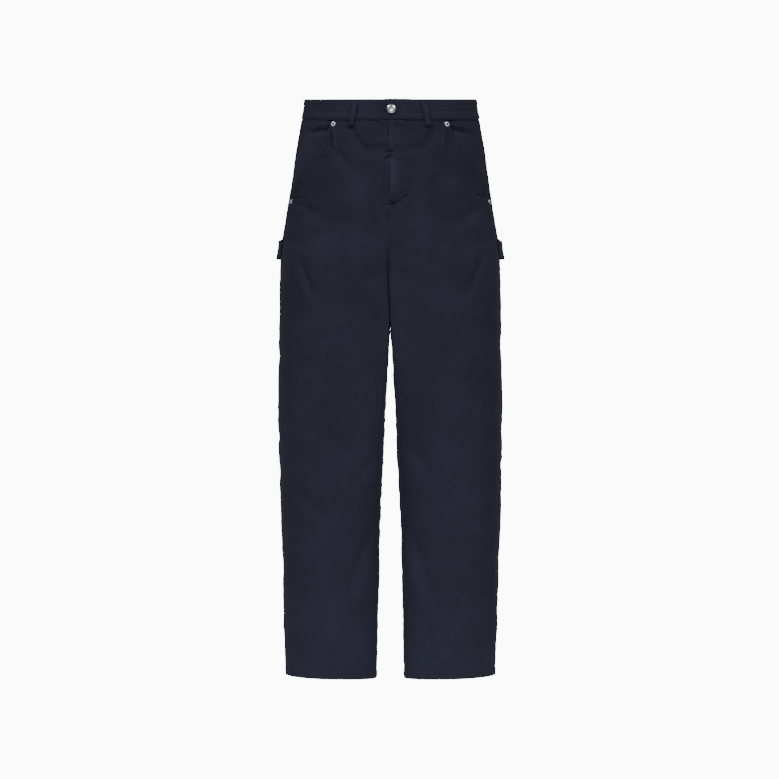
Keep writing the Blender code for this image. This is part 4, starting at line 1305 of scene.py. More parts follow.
@functools.lru_cache(maxsize=None)
def nickel(name, dullness):
    """Nickel plate with fine handling marks, polished or duller, painted near black inside a rivet's eye as
    painted shade.
    """
    settings = bpy.context.scene.trouser_trim
    material, tree, shader = new_material(name, dullness, 1.0)
    place = tree.nodes.new("ShaderNodeTexCoord")
    marks = noise(tree, place.outputs["Object"], 700.0, 4.0, 0.6)
    smudge = noise(tree, place.outputs["Object"], 160.0, 3.0, 0.5)
    # Painted shade: the metal is painted near black inside the rivet's eye
    sunk = tree.nodes.new("ShaderNodeAttribute")
    sunk.attribute_name = "sunk"
    clean_and_shaded = calculate(tree, "MULTIPLY_ADD", smudge, 0.3, 0.75)
    lit = calculate(tree, "MULTIPLY_ADD", sunk.outputs["Fac"], -0.9, 1.0)
    clean_and_shaded = calculate(tree, "MULTIPLY", clean_and_shaded, lit)
    tree.links.new(two_tone(tree, clean_and_shaded, (0.0, 0.0, 0.0), settings.metal), shader.inputs["Base Color"])
    spread = calculate(tree, "MULTIPLY_ADD", marks, 0.16, dullness)
    tree.links.new(spread, shader.inputs["Roughness"])
    tree.links.new(bump(tree, marks, 0.12, 0.0001), shader.inputs["Normal"])
    return material


# Pieces


def make_front(side, cloth):
    """A front panel with its turned pocket mouth, hem and sewing."""
    heights = panel_rows(SEAM_TOP, HEM)
    along = edge_columns(np.full(len(heights), SEAM_GAP / 2), front_end(heights), cloth.front_columns)
    high = np.broadcast_to(heights[:, None], along.shape)
    lift = front_lift(side, along, high)
    outer = cloth_point(side, along, high, lift + tuck(high))
    hidden = inside_lift(along, front_end(high) - along, high, cloth) + tuck(high)
    inner = cloth_point(side, along, high, hidden)
    # Sewn edges paler from wear, and painted highlights along the ridges
    wear_and_highlight = grid_wear(along, front_end(high) - along, high - HEM) + highlight_and_wear_paling(side, outer)
    uv = np.stack([along * side, high], axis=-1)
    name = f"front_{side_name(side)}"
    place_sheet(name, outer, inner, uv, wear_and_highlight, side < 0)
    sew_hem(name, side, SEAM_GAP, front_end, front_lift)
    mouth = np.linspace(-BAND_HALF - 0.001, MOUTH_LOW + 0.0015, 90)
    for inset in MOUTH_SEWING:
        sew_up(name, side, front_end(mouth) - inset, mouth, front_lift)
    if side > 0:
        centre = fork_line(FLY_BOTTOM - 0.001)
        for inset in SEWING_ROWS:
            sew_up(name, side, np.full(len(centre), inset), centre, front_lift)
    tack = front_end(MOUTH_LOW + 0.012) - 0.004
    tack_at(name, side, tack, MOUTH_LOW + 0.0105, 0.0, -0.009, front_lift)


def tab_rise(signed, height):
    """How far the fly's layers push the cloth out below the waistband's lapped end."""
    across = blend(signed, 0.050, 0.028) * blend(signed, -0.016, -0.007)
    return TAB_RISE * across * blend(height, -0.036, -0.0215)


def inside_lift(from_start, to_end, height, cloth):
    """The inner face of a leg panel, thicker at the hem and turned out at its edges."""
    edge = np.minimum(np.minimum(from_start, to_end), height - HEM)
    return -cloth.shell - 0.0009 * hem_share(height) + 0.0004 * np.exp(-((edge / 0.0009) ** 2))


def make_back(side, cloth):
    """A back panel with the laps of its seams, hem and sewing."""
    heights = panel_rows(SEAM_TOP, HEM)
    start = seam_along(heights) + SEAM_GAP / 2
    end = half_length(heights) - SEAM_GAP / 2
    along = edge_columns(start, end, cloth.back_columns)
    high = np.broadcast_to(heights[:, None], along.shape)
    from_seam, to_end = along - seam_along(high), half_length(high) - along
    outer = cloth_point(side, along, high, back_lift(side, along, high) + tuck(high))
    inner = cloth_point(side, along, high, inside_lift(from_seam, to_end, high, cloth) + tuck(high))
    wear_and_highlight = grid_wear(from_seam, to_end, high - HEM) + 0.5 * grid_wear(from_seam - LAP_WIDTH)
    uv = np.stack([along * side, high], axis=-1)
    name = f"back_{side_name(side)}"
    place_sheet(name, outer, inner, uv, wear_and_highlight, side < 0)
    sew_hem(name, side, seam_along(HEM + HEM_SEWING), half_length, back_lift)
    sides = np.linspace(-BAND_HALF - 0.001, HEM + HEM_DEPTH, 420)
    inseam = np.linspace(CROTCH - 0.004, HEM + HEM_DEPTH, 300)
    for inset in SEWING_ROWS:
        sew_up(name, side, seam_along(sides) + inset, sides, back_lift)
        sew_up(name, side, half_length(inseam) - inset, inseam, back_lift)
        if side > 0:
            centre = fork_line(-BAND_HALF - 0.001)
            sew_up(name, side, half_length(centre) - inset, centre, back_lift)


def fork_line(top):
    """Heights from a place down to the crotch, closest together at the crotch."""
    return top + (CROTCH + 0.0015 - top) * np.sin(np.linspace(0, math.pi / 2, 120))


def sew_up(piece, side, along, height, lift):
    """A row of stitches along a line of places on a panel."""
    out = lift(side, along, height) + STITCH_OUT
    sew(piece, cloth_point(side, along, height, out))


def sew_hem(piece, side, start, end, lift):
    """The row of stitches round the hem, from a place to the panel's end."""
    height = HEM + HEM_SEWING
    sew_up(piece, side, np.linspace(start, end(height), 120), np.full(120, height), lift)


def tack_at(piece, side, along, height, across, up, lift, **size):
    """A bar tack at a place on a panel, running across and up by some distances."""
    places_along = np.array([along, along + across])
    places_up = np.array([height, height + up])
    ends = cloth_point(side, places_along, places_up, lift(side, places_along, places_up) + TACK_OUT)
    normal = form_normal(side, places_along[:1], places_up[:1])[0]
    bar_tack(piece, ends[0], ends[1], normal, **size)


def make_hip(side, cloth):
    """The hip piece in the front pocket's mouth."""
    heights = np.concatenate([SEAM_TOP + np.array(TUCK_ROWS), np.linspace(SEAM_TOP, HIP_LOW, 62)])
    end = seam_along(heights) - SEAM_GAP / 2
    along = edge_columns(HIP_START * end, end, 26)
    high = np.broadcast_to(heights[:, None], along.shape)
    lift = hip_lift(side, along, high) + tuck(high)
    outer = cloth_point(side, along, high, lift)
    inner = cloth_point(side, along, high, lift - cloth.shell)
    uv = np.stack([along * side, high], axis=-1)
    name = f"hip_{side_name(side)}"
    wear_and_highlight = 0.6 + grid_wear(seam_along(high) - along)
    place_sheet(name, outer, inner, uv, wear_and_highlight, side < 0)


def make_fly():
    """The fly's overlap and its curved double row."""
    drop = np.concatenate([np.linspace(0, 0.985, 90), [0.990, 0.994, 0.997, 0.999, 1.0]])
    top = SEAM_TOP
    heights = top + (FLY_BOTTOM - top) * drop
    edges = (0, 0.0004, 0.0009, 0.0015, 0.0022, 0.0030, 0.0042)
    along = edge_columns(np.full(len(heights), SEAM_GAP / 2), fly_end(heights), 20, edges)
    high = np.broadcast_to(heights[:, None], along.shape)
    outer = cloth_point(1, along, high, fly_lift(1, along, high))
    rise = tab_rise(along, high) - tab_rise(-along, high)
    under = 0.0009 * blend(fly_edge(along, high), 0.0002, 0.0018)
    inner = cloth_point(1, along, high, front_lift(-1, along, high) + rise - under)
    # Sewn edge paler from wear, and painted highlights along the fly's ridges
    wear_and_highlight = 0.15 + 0.5 * grid_wear(along) + highlight_and_wear_paling(1, outer)
    uv = np.stack([along, high], axis=-1)
    place_sheet("fly", outer, inner, uv, wear_and_highlight, False)
    for inset in FLY_SEWING:
        turn = np.linspace(0, math.pi / 2, 40)
        radius = FLY_CORNER - inset
        along_line = np.concatenate(
            [np.full(60, FLY_WIDTH - inset), FLY_WIDTH - FLY_CORNER + radius * np.cos(turn), [0.001]]
        )
        up = FLY_BOTTOM + FLY_CORNER
        high_line = np.concatenate(
            [np.linspace(top, up, 60), up - radius * np.sin(turn), [FLY_BOTTOM + inset]]
        )
        sew_up("fly", 1, along_line, high_line, fly_lift)
    edge = np.linspace(top, FLY_BOTTOM + 0.004, 90)
    sew_up("fly", 1, np.full(90, 0.0018), edge, fly_lift)
    tack_at("fly", 1, 0.0012, FLY_BOTTOM + 0.0012, 0.009, 0.0, fly_lift, width=0.0018)
    tack_at("fly", 1, 0.0272, FLY_BOTTOM + 0.0125, 0.0070, 0.0, fly_lift, width=0.0018)


def band_lift(turn, height):
    """The waistband's relief: a shallow hollow between its two sewn edges, and the lapped end."""
    over = (BAND_WALL + LIE_GAP) * blend(turn, TAB_COVER + TAB_FADE, TAB_COVER)
    level = height / BAND_HALF
    puff = BAND_GROOVE * (np.abs(level) * 1.6 - 0.8) * blend(np.abs(level), 1.02, 0.82)
    ripple = 0.00030 * line_noise(turn, height, 0.010, 31) + 0.00050 * line_noise(turn, height, 0.032, 32)
    for place, spread, amount, seed in BAND_PULLS:
        waver = place + 0.0010 * line_noise(turn, height * 0, 0.030, seed)
        share = 0.55 + 0.45 * line_noise(turn, height * 0, 0.050, seed + 5)
        ripple = ripple + amount * share * np.exp(-(((height - waver) / spread) ** 2))
    edge = BAND_HALF - np.abs(height)
    gathered = np.exp(-(height + BAND_HALF) / 0.014) + 0.4 * np.exp(-(BAND_HALF - height) / 0.010)
    ripple = ripple + 0.00034 * gathered * line_noise(turn + 0.2 * height, height * 0, 0.0055, 38)
    return (
        BAND_PROUD
        + over
        + puff
        + ripple
        + roll(edge, 0.0008, 0.0012)
        + sewn(edge, (BAND_SEWING,), 0.0003, 0.0010)
        + roll(turn - TAB_END, 0.0008, 0.0010)
        + sewn(turn - TAB_END, (TAB_SEWING,), 0.0003, 0.0010)
    )


def band_point(turn, height, out):
    """Points of the waistband, by distance round the waist at its middle."""
    stretch = half_length(height) / half_length(0.0)
    return cloth_point(1, turn * stretch, height, out, around=True, uneven=0.6)


def make_waistband():
    """The waistband, right round and lapped at the front."""
    whole = 2 * float(half_length(0.0))
    last = whole + TAB_COVER - TAB_SHORT
    start = TAB_END + np.array([0, 0.0005, 0.0010, 0.0016, 0.0025, 0.0034, 0.0046])
    turns = np.concatenate([start, np.arange(TAB_END + 0.006, last - 0.001, 0.0021), [last]])
    edge = np.array([0, 0.0004, 0.0009, 0.0015, 0.0024, 0.0033, 0.0045])
    level = BAND_HALF - edge
    heights = np.concatenate([level, np.linspace(level[-1], -level[-1], 13)[1:-1], -level[::-1]])
    turn, high = np.meshgrid(turns, heights)
    lift = band_lift(turn, high)
    outer = band_point(turn, high, lift)
    wall = BAND_WALL - 0.0012 * np.exp(-(((BAND_HALF - np.abs(high)) / 0.0012) ** 2))
    base = BAND_PROUD + (BAND_WALL + LIE_GAP) * blend(turn, TAB_COVER + TAB_FADE, TAB_COVER)
    inner = band_point(turn, high, base - wall)
    wear_and_highlight = 0.55 + grid_wear(BAND_HALF - np.abs(high), turn - TAB_END)
    uv = np.stack([turn, high], axis=-1)
    place_sheet("waistband", outer, inner, uv, wear_and_highlight, False)
    line = np.arange(TAB_END + 0.002, whole - 0.006, 0.002)
    for level_up in (BAND_HALF - BAND_SEWING, -BAND_HALF + BAND_SEWING):
        up = np.full(len(line), level_up)
        sew("waistband", band_point(line, up, band_lift(line, up) + STITCH_OUT))
    up = np.linspace(BAND_HALF - 0.003, -BAND_HALF + 0.003, 20)
    end = np.full(20, TAB_END + TAB_SEWING)
    sew("waistband", band_point(end, up, band_lift(end, up) + STITCH_OUT))


def loop_path(share):
    """A belt loop's height and stand at a share of its length, from top to foot."""
    lie = BAND_PROUD + 0.0009
    path = np.array(
        [
            (0.00, lie - 0.0003),
            (0.09, lie),
            (0.20, lie + LOOP_STAND * 0.55),
            (0.40, lie + LOOP_STAND),
            (0.58, lie + LOOP_STAND * 0.8),
            (0.76, lie + LOOP_STAND * 0.2),
            (0.88, 0.0010),
            (1.00, 0.0007),
        ]
    )
    stand = np.interp(share, np.linspace(0, 1, 60), smooth_stand(path, 60))
    return BAND_HALF - 0.0006 + (LOOP_FOOT - BAND_HALF + 0.0006) * share, stand


def smooth_stand(path, count):
    """A table of share and stand as a smooth curve at equal shares."""
    rates = slopes(path[:, 0], path[:, 1:])[:, 0]
    shares = np.linspace(0, 1, count)
    row = np.clip(np.searchsorted(path[:, 0], shares) - 1, 0, len(path) - 2)
    size = path[row + 1, 0] - path[row, 0]
    return eased((shares - path[row, 0]) / size, size, path[:, 1], rates, row)


def make_belt_loop(name, side, top, foot):
    """A belt loop with its two rows and bar tacks."""
    shares = np.linspace(0, 1, 46)
    edge = np.array([1, 0.93, 0.84, 0.72, 0.58])
    across = np.concatenate([-edge, np.linspace(-0.4, 0.4, 5), edge[::-1]])

    def at(share, over, out):
        height, stand = loop_path(share)
        along = (top + (foot - top) * share) * half_length(height) + over * LOOP_WIDTH / 2
        return cloth_point(side, along, height, stand + out, around=True, uneven=0.6)

    share, over = np.meshgrid(shares, across, indexing="ij")
    rounding = 0.0005 * np.exp(-(((1 - np.abs(over)) / 0.10) ** 2))
    channel = 0.00022 * np.exp(-(((np.abs(over) - 0.60) / 0.14) ** 2))
    outer = at(share, over, LOOP_WALL - rounding - channel)
    inner = at(share, over, rounding * 0.8)
    # The loops are paler all over, and palest at their folded edges
    wear_and_highlight = 1.3 + 1.0 * np.exp(-(((1 - np.abs(over)) / 0.16) ** 2))
    uv = np.stack([over * LOOP_WIDTH / 2, -share * (BAND_HALF - LOOP_FOOT)], axis=-1)
    place_sheet(name, outer, inner, uv, wear_and_highlight, side < 0)
    run = np.linspace(0.03, 0.97, 40)
    for row in (-0.6, 0.6):
        sew(name, at(run, np.full(40, row), LOOP_WALL - 0.0001))
    for place in (0.035, 0.955):
        ends = at(np.array([place, place]), np.array([-0.82, 0.82]), LOOP_WALL + 0.0001)
        height, _ = loop_path(place)
        middle = (top + (foot - top) * place) * half_length(height)
        normal = form_normal(side, np.array([middle]), np.array([height]), True)[0]
        bar_tack(name, ends[0], ends[1], normal, 0.0020, 16)


def make_hammer_loop(side):
    """A hammer loop: a wide strip, sewn at both ends and slack between them."""
    ends = [0, 0.004, 0.009, 0.016], [0.984, 0.991, 0.996, 1]
    shares = np.concatenate([ends[0], np.linspace(0.025, 0.975, 62), ends[1]])
    width = HAMMER_TOP - HAMMER_LOW
    edge = np.array([0, 0.0004, 0.0009, 0.0015, 0.0024, 0.0034, 0.0048]) / width
    drops = np.concatenate([edge, np.linspace(edge[-1], 1 - edge[-1], 13)[1:-1], 1 - edge[::-1]])

    def at(share, drop, out):
        height = HAMMER_TOP + (HAMMER_LOW - HAMMER_TOP) * drop
        stand = HAMMER_STAND_TOP + (HAMMER_STAND_LOW - HAMMER_STAND_TOP) * drop
        slack = blend(share, HAMMER_SEWN, 0.42) * blend(share, 1 - HAMMER_SEWN, 0.58)
        along = seam_along(height) + HAMMER_START + HAMMER_LENGTH * share
        sag = 0.0012 * slack * np.sin(math.pi * drop)
        lie = 0.0004 + LAP_RISE * blend(share, 0.16, 0.11)
        point = cloth_point(side, along, height, lie + (stand - sag) * slack + out, uneven=0.8)
        point[..., 2] -= 0.0020 * slack
        return point

    share, drop = np.meshgrid(shares, drops)
    inset = np.minimum(drop, 1 - drop) * width
    end = np.minimum(share, 1 - share) * HAMMER_LENGTH
    rounding = 0.0005 * (np.exp(-((inset / 0.0009) ** 2)) + np.exp(-((end / 0.0009) ** 2)))
    ripple = 0.00030 * line_noise(share * HAMMER_LENGTH, drop * width, 0.011, 51 + side)
    out = HAMMER_WALL - rounding + sewn(inset, (HAMMER_SEWING,), 0.0003) + ripple
    outer = at(share, drop, out)
    inner = at(share, drop, rounding * 0.8)
    wear_and_highlight = grid_wear(inset, end)
    name = f"hammer_loop_{side_name(side)}"
    uv = np.stack([side * share * HAMMER_LENGTH, -drop * width], axis=-1)
    place_sheet(name, outer, inner, uv, wear_and_highlight, side < 0)
    run = np.linspace(0.01, 0.99, 90)
    on_top = HAMMER_WALL + 0.0001
    for inset_row in (HAMMER_SEWING / width, 1 - HAMMER_SEWING / width):
        sew(name, at(run, np.full(90, inset_row), on_top))
    down = np.linspace(0.06, 0.94, 30)
    for place in HAMMER_TACKS:
        sew(name, at(np.full(30, place), down, on_top))
    slant = np.linspace(0.06, 0.94, 20)
    for first, last in (HAMMER_TACKS[:2], HAMMER_TACKS[:1:-1]):
        sew(name, at(np.linspace(first, last, 20), slant, on_top))


def pocket_length(over):
    """How long the patch pocket is, from side to side, with its point in the middle."""
    return PATCH_SIDE + (PATCH_POINT - PATCH_SIDE) * (1 - np.abs(over))


def pocket_gape(depth, inset):
    """How far the patch pocket's mouth stands open."""
    return PATCH_GAPE * np.exp(-((depth / 0.020) ** 2)) * blend(inset, 0.004, 0.045)


def pocket_grid():
    """Places across and down the patch pocket, close together at its edges and its hem."""
    edge = np.array(PATCH_EDGES)
    across = edge / PATCH_WIDTH_TOP * 2
    middle = np.linspace(-1 + across[-1], 1 - across[-1], 32)[1:-1]
    down = edge / PATCH_SIDE
    hem = PATCH_HEM / PATCH_SIDE
    drops = np.concatenate(
        [
            down,
            np.linspace(down[-1], hem - 0.02, 4)[1:],
            hem + np.array([-0.012, -0.006, 0, 0.006, 0.012]),
            np.linspace(hem + 0.03, 1 - down[-1], 28),
            (1 - down)[::-1][1:],
        ]
    )
    return np.meshgrid(np.concatenate([-1 + across, middle, (1 - across)[::-1]]), drops)


def make_patch_pocket(side):
    """A back patch pocket: hemmed mouth, turned edges, double rows and bar tacks."""
    top = PATCH_TOP + WAIST_TILT * blend(PATCH_TOP, TILT_END, 0) * PATCH_DEPTH

    def spot(over, drop):
        depth = drop * pocket_length(over)
        narrower = (PATCH_WIDTH_LOW - PATCH_WIDTH_TOP) * np.minimum(depth / PATCH_SIDE, 1)
        half = (PATCH_WIDTH_TOP + narrower) / 2
        along, height = places(PATCH_CENTRE + over * half, top - depth, True)
        return along, height, depth, (1 - np.abs(over)) * half

    def lift(over, depth, inset, along, height):
        edges = np.minimum(inset, (pocket_length(over) - depth) * 0.96)
        turn = 0.0005 * blend(edges, 0.0112, 0.0098) + roll(edges, 0.0006, 0.0010)
        turn = turn + roll(depth, 0.0005, 0.0010)
        hemmed = 0.0006 * blend(depth, PATCH_HEM + 0.0006, PATCH_HEM - 0.0008)
        full = 0.0009 * blend(edges, 0.010, 0.040)
        rows = sewn(edges) + sewn(depth, PATCH_HEM_SEWING)
        small = pucker(edges, depth + over * 0.07, 95 + side)
        wall = LIE_GAP + PATCH_WALL + turn + hemmed + pocket_gape(depth, inset)
        return back_lift(side, along, height) + wall + full + rows + small

    over, drop = pocket_grid()
    along, height, depth, inset = spot(over, drop)
    outer = cloth_point(side, along, height, lift(over, depth, inset, along, height))
    gap = back_lift(side, along, height) + LIE_GAP * 0.5 + pocket_gape(depth, inset)
    inner = cloth_point(side, along, height, gap)
    wear_and_highlight = grid_wear(inset, pocket_length(over) - depth, depth)
    uv = np.stack([side * over * PATCH_WIDTH_TOP / 2, -depth], axis=-1)
    name = f"patch_pocket_{side_name(side)}"
    place_sheet(name, outer, inner, uv, wear_and_highlight, side > 0)

    def row(over_line, drop_line):
        along, height, depth, inset = spot(over_line, drop_line)
        out = lift(over_line, depth, inset, along, height) + STITCH_OUT
        sew(name, cloth_point(side, along, height, out))

    for gap_in in SEWING_ROWS:
        u = 1 - gap_in / (PATCH_WIDTH_TOP / 2)
        v = 1 - gap_in / PATCH_SIDE
        line = np.concatenate([np.full(60, -u), np.linspace(-u, u, 90), np.full(60, u)])
        fall = np.concatenate([np.linspace(0.012, v, 60), np.full(90, v), np.linspace(v, 0.012, 60)])
        row(line, fall)
    for depth_in in PATCH_HEM_SEWING:
        line = np.linspace(-0.985, 0.985, 90)
        row(line, depth_in / pocket_length(line))
    for end in (-0.965, 0.965):
        along, height, depth, inset = spot(np.array([end, end]), np.array([0.012, 0.085]))
        out = lift(end, depth, inset, along, height) + TACK_OUT
        ends = cloth_point(side, along, height, out)
        bar_tack(name, ends[0], ends[1], form_normal(side, along[:1], height[:1])[0])


def turned(node, profile, point, normal, finish, eye=0.0):
    """A turned metal piece on a point, with its axis along the normal and marked as sunk inside its eye,
    where it gets painted shade.
    """
    name = f"metal_{node}"
    point, normal = Vector(point), Vector(normal)
    shape = bmesh.new()
    verts = [shape.verts.new((radius, 0, height)) for radius, height in profile]
    edges = [shape.edges.new(pair) for pair in zip(verts, verts[1:])]
    bmesh.ops.spin(
        shape, geom=verts + edges, cent=(0, 0, 0), axis=(0, 0, 1), angle=math.tau,
        steps=TURN_STEPS, use_merge=True,
    )
    bmesh.ops.remove_doubles(shape, verts=shape.verts, dist=1e-7)
    bmesh.ops.recalc_face_normals(shape, faces=shape.faces)
    place = Matrix.Translation(point) @ normal.to_track_quat("Z", "Y").to_matrix().to_4x4()
    shape.transform(place)
    mesh = bpy.data.meshes.new(name)
    shape.to_mesh(mesh)
    shape.free()
    mesh.shade_smooth()
    mesh.materials.append(finish)
    away = [(v.co - point).cross(normal).length for v in mesh.vertices]
    # Inside the eye the metal gets painted shade
    sunk = [1.0 if eye and distance < eye else 0.0 for distance in away]
    mesh.attributes.new("sunk", "FLOAT", "POINT").data.foreach_set("value", sunk)
    made = bpy.data.objects.new(name, mesh)
    bpy.context.scene.collection.objects.link(made)
    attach(made, "root")
    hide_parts(node)


def make_rivet(name, side, x, height):
    """A ring-headed rivet with a deep sunk eye."""
    profile = [(RIVET_RADIUS * across, RIVET_HEIGHT * up) for across, up in RIVET_PROFILE]
    low_along, high_along = 0.0, float(seam_along(height)) + 0.02
    for _ in range(30):
        along = (low_along + high_along) / 2
        found = float(level_form(1, along, height)[0])
        low_along, high_along = (along, high_along) if found < x else (low_along, along)
    spot = (np.array([along]), np.array([height]))
    point = cloth_point(side, *spot, front_lift(side, *spot) + 0.0001)[0]
    normal = form_normal(side, *spot)[0]
    # The eye gets painted shade
    turned(name, profile, point, normal, nickel("nickel_satin", 0.26), RIVET_EYE)


def make_button():
    """A plain domed shank button with a narrow rim."""
    crown = [(math.sin(a), 0.58 + 0.42 * math.cos(a)) for a in np.linspace(0, 1.28, 14)]
    profile = [(BUTTON_RADIUS * across, BUTTON_HEIGHT * up) for across, up in (*crown, *BUTTON_RIM)]
    shank = ((1.15, 0.33), (1.0, 0.25), (1.0, 0.0), (0.0, 0.0))
    profile += [(BUTTON_SHANK * across, BUTTON_HEIGHT * up) for across, up in shank]
    spot = (np.array([BUTTON_ALONG]), np.array([0.0]))
    out = band_lift(*spot)
    point = cloth_point(1, *spot, out + 0.0001, around=True, uneven=0.6)[0]
    normal = form_normal(1, *spot, True)[0]
    turned("button", profile, point, normal, nickel("nickel_polished", 0.16))


# Stage

# Lamps. Columns: name, place, size, share of the lamp power.
LAMPS = (
    ("key", (-1.9, -2.6, 2.7), 0.8, 1.0),
    ("fill", (2.0, -2.8, 2.5), 1.0, 0.84),
    ("front", (0.2, -4.9, 0.1), 1.4, 0.42),
    ("back", (0.6, 3.4, 1.8), 2.4, 0.45),
)


def stage_finish(glow):
    """Pale matt floor that the camera sees as bright as the backdrop."""
    material, tree, shader = new_material("pale_floor", 0.9)
    shader.inputs["Base Color"].default_value = (0.80, 0.80, 0.80, 1)
    shader.inputs["Specular IOR Level"].default_value = 0.1
    shader.inputs["Emission Color"].default_value = (1, 1, 1, 1)
    seen = tree.nodes.new("ShaderNodeLightPath").outputs["Is Camera Ray"]
    tree.links.new(calculate(tree, "MULTIPLY", seen, glow), shader.inputs["Emission Strength"])
    return material


def studio_world(backdrop, ambient):
    """A plain white world, brighter where the camera sees it than where it lights the cloth."""
    world = bpy.data.worlds.new("studio")
    world.use_nodes = True
    tree = world.node_tree
    sky = tree.nodes["Background"]
    sky.inputs["Color"].default_value = (1, 1, 1, 1)
    seen = tree.nodes.new("ShaderNodeLightPath").outputs["Is Camera Ray"]
    strength = calculate(tree, "MULTIPLY_ADD", seen, backdrop - ambient, ambient)
    tree.links.new(strength, sky.inputs["Strength"])
    return world


def add_light(name, place, size, power, aim):
    """A soft square lamp that faces a point."""
    lamp = bpy.data.lights.new(name, "AREA")
    lamp.size = size
    lamp.energy = power
    made = bpy.data.objects.new(name, lamp)
    made.location = place
    made.rotation_euler = (Vector(aim) - Vector(place)).to_track_quat("-Z", "Y").to_euler()
    bpy.context.scene.collection.objects.link(made)


# Settings


class TrouserCloth(bpy.types.PropertyGroup):
    """The cloth."""

    # The deep and pale colours are also the ends of the painted light: painted shade at the top goes
    # towards the deep colour, painted ridge highlights and the lighter lower legs towards the pale one
    dark: FloatVectorProperty(
        name="Deep colour", description="The cloth where the dye is deepest", subtype="COLOR",
        size=3, min=0, max=1, default=(0.0140, 0.0153, 0.0304),
    )
    light: FloatVectorProperty(
        name="Pale colour", description="The cloth where it is paler or rubbed", subtype="COLOR",
        size=3, min=0, max=1, default=(0.0352, 0.0384, 0.0668),
    )
    # Painted light: how much darker the cloth is painted at the top and lighter towards the hems
    painted_light_below: FloatProperty(
        name="Paler below", description="How much paler the dye gets towards the hems",
        subtype="FACTOR", min=0, max=1, default=0.62,
    )
    rib_spacing: FloatProperty(
        name="Rib spacing", description="Distance from one twill rib to the next",
        unit="LENGTH", min=0.0004, max=0.003, default=0.0009, precision=5,
    )
    shell: FloatProperty(
        name="Thickness", description="How thick one layer of the cloth is",
        unit="LENGTH", min=0.0008, max=0.003, default=0.0013, precision=5,
    )
    fold_depth: FloatProperty(
        name="Crease depth", description="Deeper or shallower small creases",
        subtype="FACTOR", min=0, max=4, default=1.85,
    )
    front_columns: IntProperty(
        name="Front columns", description="Columns between the edges of a front panel",
        min=8, max=200, default=80,
    )
    back_columns: IntProperty(
        name="Back columns", description="Columns between the edges of a back panel",
        min=8, max=200, default=56,
    )


class TrouserSewing(bpy.types.PropertyGroup):
    """The sewing."""

    stitch_length: FloatProperty(
        name="Stitch length", description="Length of one stitch", unit="LENGTH",
        min=0.001, max=0.006, default=0.0025, precision=5,
    )
    stitch_gap: FloatProperty(
        name="Stitch gap", description="Gap between two stitches", unit="LENGTH",
        min=0.0001, max=0.003, default=0.0007, precision=5,
    )
    thread_radius: FloatProperty(
        name="Thread radius", description="Half the thread's thickness", unit="LENGTH",
        min=0.0001, max=0.001, default=0.00023, precision=5,
    )
    thread: FloatVectorProperty(
        name="Thread colour", description="Colour of the sewing thread", subtype="COLOR",
        size=3, min=0, max=1, default=(0.0170, 0.0190, 0.0335),
    )
    seed: IntProperty(name="Seed", description="Seed of the stitches' unevenness", min=0, max=99, default=7)


class TrouserTrim(bpy.types.PropertyGroup):
    """The metal trim."""

    metal: FloatVectorProperty(
        name="Metal colour", description="Colour of the button and the rivets", subtype="COLOR",
        size=3, min=0, max=1, default=(0.95, 0.96, 1.0),
    )


class TrouserStage(bpy.types.PropertyGroup):
    """The stage."""

    distance: FloatProperty(
        name="Camera distance", description="Distance of the camera from the middle of the trousers",
        unit="LENGTH", min=1, max=20, default=3.7,
    )
    lens: FloatProperty(
        name="Lens", description="Focal length in millimetres", min=20, max=300, default=92.0,
    )
    camera_x: FloatProperty(
        name="Camera x", description="The camera's place across", unit="LENGTH",
        min=-1, max=1, default=-0.0017, precision=4,
    )
    camera_height: FloatProperty(
        name="Camera height", description="The camera's height", unit="LENGTH",
        min=-2, max=2, default=-0.5208, precision=4,
    )
    backdrop: FloatProperty(
        name="Backdrop", description="How bright the backdrop looks to the camera",
        min=0, max=50, default=11.0,
    )
    ambient: FloatProperty(
        name="Ambient light", description="How bright the light from all round is",
        min=0, max=10, default=0.14,
    )
    lamp_power: FloatProperty(
        name="Lamp power", description="Power of the main lamp", unit="POWER",
        min=0, max=1000, default=66.0,
    )
    floor: FloatProperty(
        name="Floor height", description="Height of the floor", unit="LENGTH",
        min=-3, max=0, default=-1.75,
    )


# Operators


class TROUSERS_OT_panels(bpy.types.Operator):
    """Cut and shape the four leg panels"""

    bl_idname = "trousers.panels"
    bl_label = "Leg panels"

    def execute(self, context):
        for side in (1, -1):
            make_front(side, context.scene.trouser_cloth)
            make_back(side, context.scene.trouser_cloth)
        return {"FINISHED"}


class TROUSERS_OT_hips(bpy.types.Operator):
    """Set the hip pieces in the front pockets' mouths"""

    bl_idname = "trousers.hips"
    bl_label = "Hip pieces"

    def execute(self, context):
        for side in (1, -1):
            make_hip(side, context.scene.trouser_cloth)
        return {"FINISHED"}


class TROUSERS_OT_fly(bpy.types.Operator):
    """Lay the fly over the centre front"""

    bl_idname = "trousers.fly"
    bl_label = "Fly"

    def execute(self, context):
        make_fly()
        return {"FINISHED"}


class TROUSERS_OT_waistband(bpy.types.Operator):
    """Set the waistband round the waist"""

    bl_idname = "trousers.waistband"
    bl_label = "Waistband"

    def execute(self, context):
        make_waistband()
        return {"FINISHED"}


class TROUSERS_OT_belt_loops(bpy.types.Operator):
    """Sew the belt loops over the waistband"""

    bl_idname = "trousers.belt_loops"
    bl_label = "Belt loops"

    def execute(self, context):
        for row in LOOPS:
            make_belt_loop(*row)
        return {"FINISHED"}


class TROUSERS_OT_hammer_loops(bpy.types.Operator):
    """Sew the hammer loops to the thighs"""

    bl_idname = "trousers.hammer_loops"
    bl_label = "Hammer loops"

    def execute(self, context):
        for side in (1, -1):
            make_hammer_loop(side)
        return {"FINISHED"}


